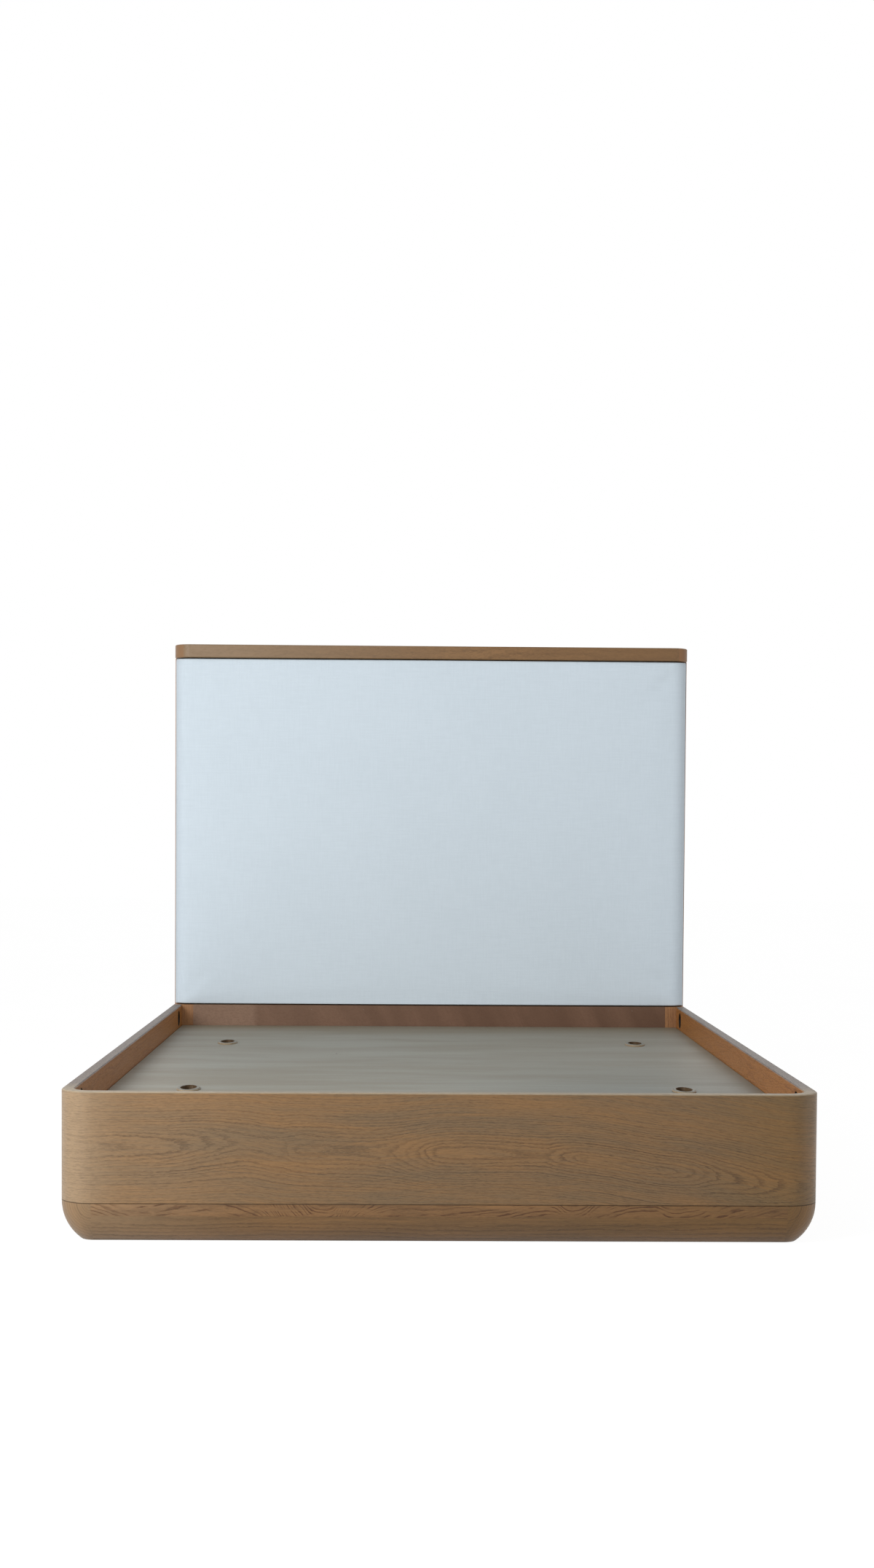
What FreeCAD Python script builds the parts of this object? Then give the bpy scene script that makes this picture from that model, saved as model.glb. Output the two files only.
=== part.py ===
import FreeCAD, Part
import math
import os

# Panel bed: an oak tub on a rounded plinth, a deck that lifts out in two halves, and an upholstered headboard.
# Millimetres. The origin is on the floor under the middle of the bed, +X is to the right seen from the foot,
# +Y runs towards the headboard and +Z is up.

Vector = FreeCAD.Vector
along_x = Vector(1, 0, 0)
along_y = Vector(0, 1, 0)
along_z = Vector(0, 0, 1)

# Overall sizes
overall_width = 1630.0
inner_length = 2070.0
rail_top_height = 324.0
headboard_height = 1464.0

# Tub boards: footboard and side rails
board_thickness = 28.0
top_edge_bevel = 2.5
joint_edge_bevel = 1.2

# Plinth: its outer face curves in towards the floor, and its corners turn round the footboard's bends
plinth_height = 86.0
plinth_inset = 42.5
plinth_foot_width = 20.0
plinth_inner_radius = 10.0
plinth_back_thickness = 28.0

# Deck and the oak rings that line its hand holes
deck_recess = 65.0
deck_thickness = 18.0
deck_clearance = 2.0
deck_seam_gap = 1.0
ring_width = 57.0
ring_length = 100.0
ring_end_radius = 20.0
ring_wall = 9.0
ring_proud = 5.0
ring_edge_bevel = 2.5
ring_rail_distance = 192.0

# Ledgers, beam, bearer and legs under the deck
ledger_width = 30.0
ledger_height = 36.0
housing_depth = 20.0
housing_clearance = 0.3
beam_width = 45.0
beam_height = 70.0
bearer_width = 70.0
leg_width = 45.0
glide_radius = 15.0
glide_height = 4.0
leg_place_shares = (-0.5, 0.0, 0.5)

# Headboard frame
post_width = 64.0
stile_depth = 36.0
cross_rail_height = 70.0
back_panel_thickness = 6.0
head_panel_thickness = 15.0
tenon_length = 20.0
tenon_thickness_share = 0.45
tenon_height_share = 0.75
cap_thickness = 41.0
cap_overhang = 2.0
cap_corner_radius = 50.0
cap_edge_bevel = 2.0

# Headboard pad: fabric cover over foam on a plywood board
pad_depth = 54.0
pad_crown = 4.0
pad_side_flat = 4.0
pad_side_inset = 2.0
pad_bottom_gap = 1.0
pad_bottom_radius = 6.0
pad_top_radius = 6.0
cover_thickness = 2.0
foam_wrap = 10.0
pad_board_thickness = 12.0

# Rail bolts: each pocket holds a crescent washer and a bolt head
pocket_radius = 24.0
pocket_skin = 6.0
pocket_drop = 36.0
pocket_end_distance = 81.0
bolt_radius = 4.0
bolt_clearance = 0.5
bolt_head_flats = 13.0
bolt_head_thickness = 5.5
washer_seat = 16.0
washer_thickness = 16.0
insert_radius = 6.0
insert_length = 22.0

# Dowels
dowel_radius = 5.0
dowel_length = 40.0
rail_dowel_height_shares = (0.22, 0.55)
plinth_front_dowel_shares = (0.35, 0.7)
plinth_side_dowel_shares = (0.2, 0.5)
side_locating_shares = (0.15, 0.5, 0.85)
foot_locating_shares = (-0.6, 0.0, 0.6)
cap_dowel_shares = (-0.5, 0.0, 0.5)

# Dowels and bolts never show, so they have few sides
pin_sides = 8

# Fits shared by all pieces
glue_clearance = 0.1
soft_clearance = 0.3
overrun = 5.0
touch = 0.001

# Places worked out from the sizes above
half_width = overall_width / 2
rail_inner_x = half_width - board_thickness
board_middle_x = half_width - board_thickness / 2
plinth_thickness = plinth_inset + plinth_foot_width
corner_radius = plinth_thickness + plinth_inner_radius
bend_x = half_width - corner_radius
plinth_inner_x = half_width - plinth_thickness
post_inner_x = half_width - post_width
post_middle_x = half_width - post_width / 2
headboard_depth = pad_depth + stile_depth
overall_length = board_thickness + inner_length + headboard_depth
front_y = -overall_length / 2
foot_inner_y = front_y + board_thickness
bend_y = front_y + corner_radius
head_y = foot_inner_y + inner_length
stile_y = head_y + pad_depth
back_y = overall_length / 2
panel_back_y = back_y - back_panel_thickness
deck_top = rail_top_height - deck_recess
deck_bottom = deck_top - deck_thickness
ledger_bottom = deck_bottom - ledger_height
housing_floor = deck_bottom - housing_depth
beam_bottom = deck_bottom - beam_height
lap_height = deck_bottom - beam_height / 2
seam_y = (foot_inner_y + head_y) / 2
ledger_inner_x = rail_inner_x - ledger_width
foot_ledger_y = foot_inner_y + ledger_width
head_ledger_y = head_y - ledger_width
cap_bottom = headboard_height - cap_thickness
bolt_height = rail_top_height - pocket_drop
rail_height = rail_top_height - plinth_height
cross_rail_depth = panel_back_y - stile_y


def box(x_range, y_range, z_range):
    """A box between the two ends of each range."""
    size = [high - low for low, high in (x_range, y_range, z_range)]
    return Part.makeBox(*size, Vector(x_range[0], y_range[0], z_range[0]))


def cylinder(radius, start, direction, length):
    return Part.makeCylinder(radius, length, start, direction)


def mirrored(shape):
    """The same piece on the other side of the bed."""
    return shape.mirror(Vector(0, 0, 0), along_x)


def flat_solid(edges, travel):
    """A solid swept straight from a closed outline."""
    return Part.Face(Part.Wire(edges)).extrude(travel)


def polygon(points):
    closed = points + points[:1]
    return [Part.LineSegment(start, end).toShape() for start, end in zip(closed, closed[1:])]


def arc(start, middle, end):
    return Part.Arc(start, middle, end).toShape()


def line(start, end):
    return Part.LineSegment(start, end).toShape()


def eased(shape, radius, chosen):
    """The shape with a fillet on each edge whose bounding box passes the test."""
    edges = [edge for edge in shape.Edges if chosen(edge.BoundBox)]
    return shape.makeFillet(radius, edges)


def bevelled(shape, size, chosen):
    """The shape with a flat bevel on each edge whose bounding box passes the test."""
    edges = [edge for edge in shape.Edges if chosen(edge.BoundBox)]
    return shape.makeChamfer(size, edges)


def cut_by(shape, tools):
    """The shape less the tools that reach it."""
    near = [tool for tool in tools if tool.BoundBox.intersect(shape.BoundBox)]
    return shape.cut(near) if near else shape


def turned(shape, place, direction):
    """A shape made along +Z, stood at a place and pointed another way."""
    copy = shape.copy()
    copy.Placement = FreeCAD.Placement(place, FreeCAD.Rotation(along_z, direction))
    return copy


def prism(sides, radius, start, direction, length):
    """A bar of regular section along any direction, with its corners at a radius."""
    corners = [Vector(radius * math.cos(turn), radius * math.sin(turn), 0)
               for turn in (math.tau * count / sides for count in range(sides))]
    return turned(flat_solid(polygon(corners), along_z * length), start, direction)


class Pins:
    """Straight pins, each with the glued hole that it shares between two pieces."""

    def __init__(self, radius, length):
        self.radius = radius
        self.length = length
        self.solids = []
        self.holes = []

    def add_centred(self, centre, direction):
        self.add_from(centre - direction * (self.length / 2), direction)

    def add_from(self, start, direction):
        mouth = start - direction * glue_clearance
        hole_length = self.length + glue_clearance * 2
        self.solids.append(prism(pin_sides, self.radius, start, direction, self.length))
        self.holes.append(prism(pin_sides, self.radius + glue_clearance, mouth, direction, hole_length))


def both_sides(x):
    return (-x, x)


def between(low, high, share):
    return low + (high - low) * share


def plinth_outline(place):
    """The plinth's section: a bevelled top corner, then one arc that draws in to the floor.

    place turns a distance in from the outer face and a height into a point.
    """
    arc_height = plinth_height - joint_edge_bevel
    arc_radius = (plinth_inset ** 2 + arc_height ** 2) / (2 * plinth_inset)
    half_turn = math.asin(arc_height / arc_radius) / 2
    belly = place(arc_radius * (1 - math.cos(half_turn)), arc_height - arc_radius * math.sin(half_turn))
    return [
        line(place(joint_edge_bevel, plinth_height), place(0, arc_height)),
        arc(place(0, arc_height), belly, place(plinth_inset, 0)),
        line(place(plinth_inset, 0), place(plinth_thickness, 0)),
        line(place(plinth_thickness, 0), place(plinth_thickness, plinth_height)),
        line(place(plinth_thickness, plinth_height), place(joint_edge_bevel, plinth_height)),
    ]


def add_plinth_dowels(dowels):
    """Pairs of dowels across each end joint of the plinth. Those that meet in a corner block pass at other heights."""
    foot_middle = plinth_inset + plinth_foot_width / 2
    for side in (-1, 1):
        for share in plinth_front_dowel_shares:
            height = plinth_height * share
            dowels.add_centred(Vector(side * bend_x, front_y + foot_middle, height), along_x)
            dowels.add_centred(Vector(side * plinth_inner_x, back_y - plinth_back_thickness / 2, height), along_x)
        for share in plinth_side_dowel_shares:
            height = plinth_height * share
            dowels.add_centred(Vector(side * (half_width - foot_middle), bend_y, height), along_y)


def add_locating_dowels(dowels):
    """Upright dowels that stop the tub and the posts from sliding on the plinth."""
    for share in foot_locating_shares:
        dowels.add_centred(Vector(bend_x * share, front_y + board_thickness / 2, plinth_height), along_z)
    for side in (-1, 1):
        for share in side_locating_shares:
            dowels.add_centred(Vector(side * board_middle_x, between(bend_y, head_y, share), plinth_height), along_z)
        dowels.add_centred(Vector(side * post_middle_x, head_y + headboard_depth / 2, plinth_height), along_z)


def add_rail_dowels(dowels):
    """Level dowels at both ends of each side rail."""
    for x in both_sides(board_middle_x):
        for y in (bend_y, head_y):
            for share in rail_dowel_height_shares:
                dowels.add_centred(Vector(x, y, plinth_height + rail_height * share), along_y)


def add_cap_dowels(dowels):
    """Upright dowels under the cap, in the posts and along the top rail."""
    for x in both_sides(post_middle_x):
        dowels.add_centred(Vector(x, stile_y + stile_depth / 2, cap_bottom), along_z)
    for share in cap_dowel_shares:
        dowels.add_centred(Vector(post_inner_x * share, stile_y + cross_rail_depth / 2, cap_bottom), along_z)


def leg_places():
    reach = head_ledger_y - foot_ledger_y
    return [seam_y + reach * share / 2 for share in leg_place_shares]


def add_leg_dowels(dowels):
    for y in leg_places():
        dowels.add_centred(Vector(0, y, beam_bottom), along_z)


def make_plinth(parts, holes):
    """Straight lengths and two corner blocks with the same section, and a plain length at the back."""
    front = flat_solid(plinth_outline(lambda u, z: Vector(-bend_x, front_y + u, z)), along_x * (bend_x * 2))
    right = flat_solid(plinth_outline(lambda u, z: Vector(half_width - u, bend_y, z)), along_y * (back_y - bend_y))
    section = Part.Face(Part.Wire(plinth_outline(lambda u, z: Vector(half_width - u, bend_y, z))))
    corner = section.revolve(Vector(bend_x, bend_y, 0), along_z, -90)
    back = box(both_sides(plinth_inner_x), (back_y - plinth_back_thickness, back_y), (0, plinth_height))
    parts["plinth_front"] = cut_by(front, holes)
    parts["plinth_left"] = cut_by(mirrored(right), holes)
    parts["plinth_right"] = cut_by(right, holes)
    parts["plinth_corners"] = Part.makeCompound([cut_by(block, holes) for block in (mirrored(corner), corner)])
    parts["plinth_back"] = cut_by(back, holes)


def bend_outline(inset):
    """Half of the footboard's plan, from the right-hand end round to the left, at a distance in from its outside."""
    radius = corner_radius - inset
    reach = radius * math.sqrt(0.5)
    points = []
    for side in (1, -1):
        end = Vector(side * (bend_x + radius), bend_y, plinth_height)
        middle = Vector(side * (bend_x + reach), bend_y - reach, plinth_height)
        start = Vector(side * bend_x, bend_y - radius, plinth_height)
        points.append((end, middle, start))
    return points


def make_footboard(parts, holes):
    """One board bent round both front corners."""
    (right_end, right_middle, right_start), (left_end, left_middle, left_start) = bend_outline(0)
    inside_right, inside_left = bend_outline(board_thickness)
    edges = [
        arc(right_end, right_middle, right_start),
        line(right_start, left_start),
        arc(left_start, left_middle, left_end),
        line(left_end, inside_left[0]),
        arc(*inside_left),
        line(inside_left[2], inside_right[2]),
        arc(inside_right[2], inside_right[1], inside_right[0]),
        line(inside_right[0], right_end),
    ]
    board = flat_solid(edges, along_z * rail_height)
    board = bevelled(board, top_edge_bevel,
                     lambda b: b.ZMin > rail_top_height - touch and b.YMin < bend_y - touch)
    outer = half_width - touch
    board = bevelled(board, joint_edge_bevel,
                     lambda b: b.ZMax < plinth_height + touch and b.YMin < bend_y - touch
                     and (b.YMax < front_y + touch or b.XMax > outer or b.XMin < -outer))
    parts["footboard_panel"] = cut_by(board, holes)


def make_side_rails(parts, holes):
    board = box((rail_inner_x, half_width), (bend_y, head_y), (plinth_height, rail_top_height))
    board = bevelled(board, top_edge_bevel,
                     lambda b: b.ZMin > rail_top_height - touch and b.YLength > board_thickness)
    board = bevelled(board, joint_edge_bevel,
                     lambda b: b.ZMax < plinth_height + touch and b.XMin > half_width - touch)
    parts["left_side_rail"] = cut_by(mirrored(board), holes)
    parts["right_side_rail"] = cut_by(board, holes)


def make_rail_bolts(parts):
    """Bolts, crescent washers and inserts at the rail ends. Returns the pockets and holes that they need."""
    bolts, washers, inserts, holes = [], [], [], []
    pocket_depth = board_thickness - pocket_skin
    shank_length = pocket_end_distance - washer_seat + insert_length
    for side in (-1, 1):
        for end_y, way in ((bend_y, -along_y), (head_y, along_y)):
            centre = Vector(side * board_middle_x, end_y, bolt_height) - way * pocket_end_distance
            mouth = Vector(side * (rail_inner_x - overrun), centre.y, bolt_height)
            holes.append(cylinder(pocket_radius, mouth, along_x * side, pocket_depth + overrun))
            seat = centre + way * washer_seat
            hole_length = shank_length + glue_clearance
            holes.append(prism(pin_sides, bolt_radius + bolt_clearance, seat, way, hole_length))
            insert_start = Vector(centre.x, end_y, bolt_height)
            insert_hole = insert_length + glue_clearance
            holes.append(prism(pin_sides, insert_radius + glue_clearance, insert_start, way, insert_hole))
            shank = prism(pin_sides, bolt_radius, seat, way, shank_length)
            head = prism(6, bolt_head_flats / math.sqrt(3), seat, -way, bolt_head_thickness)
            bolts.append(shank.fuse(head).removeSplitter())
            washers.append(crescent(centre, seat, way))
            sleeve = prism(pin_sides, insert_radius, insert_start, way, insert_length)
            bore = prism(pin_sides, bolt_radius + glue_clearance, insert_start, way, insert_length)
            inserts.append(sleeve.cut(bore))
    parts["bed_bolts"] = Part.makeCompound(bolts)
    parts["crescent_washers"] = Part.makeCompound(washers)
    parts["threaded_inserts"] = Part.makeCompound(inserts)
    return holes


def crescent(centre, seat, way):
    """A washer with one flat side for the bolt head and one round side for the pocket's wall."""
    start = centre - along_x * (washer_thickness / 2)
    disc = cylinder(pocket_radius - glue_clearance, start, along_x, washer_thickness)
    reach = pocket_radius - washer_seat
    keep_middle = seat + way * (reach / 2)
    keep = box((centre.x - washer_thickness, centre.x + washer_thickness),
               (keep_middle.y - reach / 2, keep_middle.y + reach / 2),
               (centre.z - pocket_radius, centre.z + pocket_radius))
    return disc.common(keep).cut(prism(pin_sides, bolt_radius + bolt_clearance, seat, way, reach))


def make_posts(parts, holes):
    """Posts that stand full depth beside the rails and step back behind the pad."""
    points = [(head_y, plinth_height), (back_y, plinth_height), (back_y, cap_bottom), (stile_y, cap_bottom),
              (stile_y, rail_top_height), (head_y, rail_top_height)]
    outline = polygon([Vector(post_inner_x, y, z) for y, z in points])
    post = flat_solid(outline, along_x * post_width)
    post = bevelled(post, top_edge_bevel,
                    lambda b: b.XMin > half_width - touch and (b.YMin > back_y - touch or abs(
                        b.ZMin - rail_top_height) < touch and b.ZLength < touch))
    parts["left_head_post"] = cut_by(mirrored(post), holes)
    parts["right_head_post"] = cut_by(post, holes)


def cross_rail(y_range, z_range, holes):
    """A rail between the posts with a stub tenon at each end. Returns it and adds its two mortises."""
    rail = box(both_sides(post_inner_x), y_range, z_range)
    y_middle = sum(y_range) / 2
    z_middle = sum(z_range) / 2
    half_thickness = (y_range[1] - y_range[0]) * tenon_thickness_share / 2
    half_height = (z_range[1] - z_range[0]) * tenon_height_share / 2
    for side in (-1, 1):
        for grow, target in ((0, None), (glue_clearance, holes)):
            ends = sorted((side * post_inner_x, side * (post_inner_x + tenon_length + grow)))
            tenon = box(ends, (y_middle - half_thickness - grow, y_middle + half_thickness + grow),
                        (z_middle - half_height - grow, z_middle + half_height + grow))
            if target is None:
                rail = rail.fuse(tenon)
            else:
                target.append(tenon)
    return rail.removeSplitter()


def frame_rails(mortises):
    """The four rails between the posts, before their holes."""
    middle_height = (rail_top_height + cap_bottom) / 2
    frame_range = (stile_y, panel_back_y)
    lower_range = (head_y + head_panel_thickness, stile_y)
    return {
        "head_lower_rail": cross_rail(lower_range, (ledger_bottom, rail_top_height), mortises),
        "headboard_base_rail": cross_rail(frame_range, (rail_top_height, rail_top_height + cross_rail_height), mortises),
        "headboard_mid_rail": cross_rail(
            frame_range, (middle_height - cross_rail_height / 2, middle_height + cross_rail_height / 2), mortises),
        "headboard_top_rail": cross_rail(frame_range, (cap_bottom - cross_rail_height, cap_bottom), mortises),
    }


def make_cap(parts, holes):
    cap = box(both_sides(half_width), (head_y - cap_overhang, back_y), (cap_bottom, headboard_height))
    cap = eased(cap, cap_corner_radius, lambda b: b.ZLength > touch and b.YMax < head_y)
    cap = bevelled(cap, cap_edge_bevel, lambda b: b.ZLength < touch and b.YMin < back_y - touch)
    parts["headboard_cap"] = cut_by(cap, holes)


def pad_form(skin):
    """The pad's outside less a skin: crowned front, round sides, bottom edge turned under."""
    half = half_width - pad_side_inset - skin
    bottom = rail_top_height + pad_bottom_gap + skin
    edge_y = head_y + pad_crown + skin
    left_back, right_back = (Vector(x, stile_y, bottom) for x in both_sides(half))
    left_front, right_front = (Vector(x, edge_y, bottom) for x in both_sides(half))
    crown = Vector(0, head_y + skin, bottom)
    edges = [
        line(right_back, left_back),
        line(left_back, left_front),
        arc(left_front, crown, right_front),
        line(right_front, right_back),
    ]
    pad = flat_solid(edges, along_z * (cap_bottom - skin - bottom))
    side_radius = pad_depth - pad_crown - pad_side_flat - skin
    pad = eased(pad, side_radius, lambda b: b.ZLength > pad_depth and b.YMax < edge_y + touch)
    pad = eased(pad, pad_bottom_radius - skin,
                lambda b: b.ZMax < bottom + touch and b.YMin < stile_y - touch)
    top = cap_bottom - skin
    return eased(pad, pad_top_radius - skin, lambda b: b.ZMin > top - touch and b.YMin < stile_y - touch)


def make_pad(parts):
    """Fabric cover, foam and board, one inside the other and open to the posts behind."""
    foam_skin = cover_thickness + soft_clearance
    edge = pad_side_inset + foam_skin + foam_wrap
    board_bottom = rail_top_height + pad_bottom_gap + foam_skin + foam_wrap
    board = box(both_sides(half_width - edge), (stile_y - pad_board_thickness, stile_y),
                (board_bottom, cap_bottom - foam_skin - foam_wrap))
    parts["headboard_cover"] = pad_form(0).cut(pad_form(cover_thickness))
    parts["headboard_foam"] = pad_form(foam_skin).cut(board)
    parts["headboard_board"] = board


def make_head_panels(parts):
    """Plywood panel below the pad, and the thin panel that closes the back."""
    between_posts = both_sides(post_inner_x)
    parts["head_panel"] = box(between_posts, (head_y, head_y + head_panel_thickness), (plinth_height, rail_top_height))
    parts["headboard_back_panel"] = box(between_posts, (panel_back_y, back_y), (plinth_height, cap_bottom))


def housing(x_range, y_range):
    return box(x_range, y_range, (housing_floor, deck_bottom + overrun))


def make_ledgers(parts):
    """Strips that carry the deck's edges, housed for the ends of the beam and the bearer."""
    height = (ledger_bottom, deck_bottom)
    half_beam = beam_width / 2 + housing_clearance
    half_bearer = bearer_width / 2 + housing_clearance
    right = box((ledger_inner_x, rail_inner_x), (bend_y, head_y), height)
    right = right.cut(housing((ledger_inner_x - overrun, rail_inner_x), (seam_y - half_bearer, seam_y + half_bearer)))
    foot = box(both_sides(bend_x), (foot_inner_y, foot_ledger_y), height)
    foot = foot.cut(housing(both_sides(half_beam), (foot_inner_y, foot_ledger_y + overrun)))
    head = box(both_sides(ledger_inner_x), (head_ledger_y, head_y), height)
    head = head.cut(housing(both_sides(half_beam), (head_ledger_y - overrun, head_y)))
    parts["left_ledger"] = mirrored(right)
    parts["right_ledger"] = right
    parts["foot_ledger"] = foot
    parts["head_ledger"] = head


def make_beam_and_bearer(parts, holes):
    """A lengthwise beam and a crosswise bearer, halved together under the seam, with tongues in the ledgers."""
    half_beam = beam_width / 2
    half_bearer = bearer_width / 2
    tongue = (housing_floor, deck_bottom)
    beam = box(both_sides(half_beam), (foot_ledger_y, head_ledger_y), (beam_bottom, deck_bottom))
    beam = beam.fuse(box(both_sides(half_beam),
                         (foot_inner_y + housing_clearance, head_y - housing_clearance), tongue))
    beam = beam.cut(box(both_sides(half_beam + overrun),
                        (seam_y - half_bearer - housing_clearance, seam_y + half_bearer + housing_clearance),
                        (lap_height, deck_bottom + overrun)))
    bearer = box(both_sides(ledger_inner_x), (seam_y - half_bearer, seam_y + half_bearer), (beam_bottom, deck_bottom))
    bearer = bearer.fuse(box(both_sides(rail_inner_x - housing_clearance),
                             (seam_y - half_bearer, seam_y + half_bearer), tongue))
    bearer = bearer.cut(box(both_sides(half_beam + housing_clearance),
                            (seam_y - bearer_width, seam_y + bearer_width), (beam_bottom - overrun, lap_height)))
    parts["centre_beam"] = cut_by(beam.removeSplitter(), holes)
    parts["cross_bearer"] = bearer.removeSplitter()


def make_legs(parts, holes):
    half_leg = leg_width / 2
    glides = []
    for name, y in zip(("centre_leg_foot", "centre_leg_mid", "centre_leg_head"), leg_places()):
        leg = box(both_sides(half_leg), (y - half_leg, y + half_leg), (glide_height, beam_bottom))
        parts[name] = cut_by(leg, holes)
        glides.append(cylinder(glide_radius, Vector(0, y, 0), along_z, glide_height))
    parts["leg_glides"] = Part.makeCompound(glides)


def oval(width, length, end_radius, centre, height):
    """An upright prism, longer along Y, whose outline is four arcs that run smoothly into each other."""
    half_width = width / 2
    half_length = length / 2
    end_centre = half_length - end_radius
    side_radius = (half_width ** 2 + end_centre ** 2 - end_radius ** 2) / (half_width - end_radius) / 2
    slant = end_radius / (side_radius - end_radius)
    corner_x = (side_radius - half_width) * slant
    corner_y = end_centre * (1 + slant)
    corners = {}
    for x_way in (-1, 1):
        for y_way in (-1, 1):
            corners[x_way, y_way] = centre + Vector(x_way * corner_x, y_way * corner_y, 0)
    edges = [
        arc(corners[-1, -1], centre - along_x * half_width, corners[-1, 1]),
        arc(corners[-1, 1], centre + along_y * half_length, corners[1, 1]),
        arc(corners[1, 1], centre + along_x * half_width, corners[1, -1]),
        arc(corners[1, -1], centre - along_y * half_length, corners[-1, -1]),
    ]
    return flat_solid(edges, along_z * height)


def grip_ring(centre):
    """An oak lining for a hand hole, proud of the deck and bevelled round its outer top edge."""
    height = deck_thickness + ring_proud
    ring = oval(ring_width, ring_length, ring_end_radius, centre, height)
    hole_width = ring_width - ring_wall * 2
    hole_length = ring_length - ring_wall * 2
    ring = ring.cut(oval(hole_width, hole_length, ring_end_radius - ring_wall, centre, height))
    return bevelled(ring, ring_edge_bevel,
                    lambda b: b.ZMin > deck_top + ring_proud - touch
                    and (max(b.XMax - centre.x, centre.x - b.XMin) > ring_width / 2 - touch
                         or max(b.YMax - centre.y, centre.y - b.YMin) > ring_length / 2 - touch))


def make_deck(parts):
    """Two loose panels, each with two lined hand holes at half its length."""
    half_deck = rail_inner_x - deck_clearance
    ring_x = rail_inner_x - ring_rail_distance
    ranges = {
        "foot": (foot_inner_y + deck_clearance, seam_y - deck_seam_gap / 2),
        "head": (seam_y + deck_seam_gap / 2, head_y - deck_clearance),
    }
    for end, y_range in ranges.items():
        panel = box(both_sides(half_deck), y_range, (deck_bottom, deck_top))
        if end == "foot":
            panel = eased(panel, corner_radius - board_thickness,
                          lambda b: b.ZLength > touch and b.YMax < foot_inner_y + deck_clearance + touch)
        for side, x in zip(("left", "right"), both_sides(ring_x)):
            centre = Vector(x, sum(y_range) / 2, deck_bottom)
            hole_width = ring_width + glue_clearance * 2
            hole_length = ring_length + glue_clearance * 2
            panel = panel.cut(oval(hole_width, hole_length, ring_end_radius + glue_clearance, centre, deck_thickness))
            parts["grip_ring_%s_%s" % (end, side)] = grip_ring(centre)
        parts["deck_panel_%s" % end] = panel


def make_parts():
    """Every piece by name."""
    parts = {}
    plinth_dowels, locating_dowels, rail_dowels, cap_dowels, leg_dowels = (
        Pins(dowel_radius, dowel_length) for count in range(5))
    add_plinth_dowels(plinth_dowels)
    add_locating_dowels(locating_dowels)
    add_rail_dowels(rail_dowels)
    add_cap_dowels(cap_dowels)
    add_leg_dowels(leg_dowels)

    mortises = []
    rails = frame_rails(mortises)
    bolt_holes = make_rail_bolts(parts)
    make_plinth(parts, plinth_dowels.holes + locating_dowels.holes)
    make_footboard(parts, bolt_holes + rail_dowels.holes + locating_dowels.holes)
    make_side_rails(parts, bolt_holes + rail_dowels.holes + locating_dowels.holes)
    make_posts(parts, mortises + bolt_holes + rail_dowels.holes + locating_dowels.holes + cap_dowels.holes)
    for name, rail in rails.items():
        parts[name] = cut_by(rail, cap_dowels.holes)
    make_cap(parts, cap_dowels.holes)
    make_pad(parts)
    make_head_panels(parts)
    make_ledgers(parts)
    make_beam_and_bearer(parts, leg_dowels.holes)
    make_legs(parts, leg_dowels.holes)
    make_deck(parts)
    groups = {
        "plinth_dowels": plinth_dowels,
        "locating_dowels": locating_dowels,
        "rail_dowels": rail_dowels,
        "cap_dowels": cap_dowels,
        "leg_dowels": leg_dowels,
    }
    for name, group in groups.items():
        parts[name] = Part.makeCompound(group.solids)
    return parts


os.makedirs("parts", exist_ok=True)
for part_name, part_shape in make_parts().items():
    part_shape.exportStep("parts/%s.step" % part_name)
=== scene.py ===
import math

import bmesh
import bpy
from bpy.props import FloatProperty, FloatVectorProperty, IntProperty, PointerProperty
from mathutils import Matrix, Vector


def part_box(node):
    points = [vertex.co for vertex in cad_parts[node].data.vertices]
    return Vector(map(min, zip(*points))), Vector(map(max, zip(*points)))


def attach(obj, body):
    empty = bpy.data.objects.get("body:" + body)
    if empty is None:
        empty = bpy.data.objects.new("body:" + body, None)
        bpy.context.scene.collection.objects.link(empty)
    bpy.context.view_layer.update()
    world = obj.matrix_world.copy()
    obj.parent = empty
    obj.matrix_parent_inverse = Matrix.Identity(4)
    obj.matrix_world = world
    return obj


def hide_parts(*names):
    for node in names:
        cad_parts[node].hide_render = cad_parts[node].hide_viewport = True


bl_info = {
    "name": "Oak Panel Bed",
    "version": (1, 0, 0),
    "blender": (4, 5, 0),
    "location": "3D View > Sidebar > Panel Bed",
    "description": "Finishes the oak, plywood and upholstery of a panel bed and sets it on a studio floor",
    "category": "Object",
}

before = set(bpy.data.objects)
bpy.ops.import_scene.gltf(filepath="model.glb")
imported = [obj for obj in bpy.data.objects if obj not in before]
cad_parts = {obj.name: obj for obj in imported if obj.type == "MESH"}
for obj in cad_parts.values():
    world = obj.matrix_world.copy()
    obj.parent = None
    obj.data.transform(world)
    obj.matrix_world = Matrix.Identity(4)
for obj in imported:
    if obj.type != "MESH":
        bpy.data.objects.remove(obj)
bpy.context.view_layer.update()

# Places read from the frame, in metres
foot_low, foot_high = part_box("footboard_panel")
rail_low, rail_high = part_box("right_side_rail")
cap_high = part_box("headboard_cap")[1]
deck_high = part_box("deck_panel_head")[1]
pad_low, pad_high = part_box("headboard_cover")
board_low, board_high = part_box("headboard_board")
panel_low, panel_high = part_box("head_panel")
back_low, back_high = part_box("headboard_back_panel")
side_ledger_low, side_ledger_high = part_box("right_ledger")
foot_ledger_low, foot_ledger_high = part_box("foot_ledger")
head_ledger_low, head_ledger_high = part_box("head_ledger")
washer_low, washer_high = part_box("crescent_washers")
plinth_side_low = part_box("plinth_right")[0]
plinth_front_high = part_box("plinth_front")[1]
plinth_back_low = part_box("plinth_back")[0]
near_ring_low, near_ring_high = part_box("grip_ring_foot_right")
far_ring_low, far_ring_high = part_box("grip_ring_head_right")

# The tub's plan: straight front, two round bends, straight rails
joint_height = foot_low.z
tub_height = foot_high.z - foot_low.z
board_thickness = rail_high.x - rail_low.x
bend_radius = rail_low.y - foot_low.y
bend_x = foot_high.x - bend_radius
bend_y = rail_low.y
half_run = bend_x + bend_radius * math.pi / 2

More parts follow.
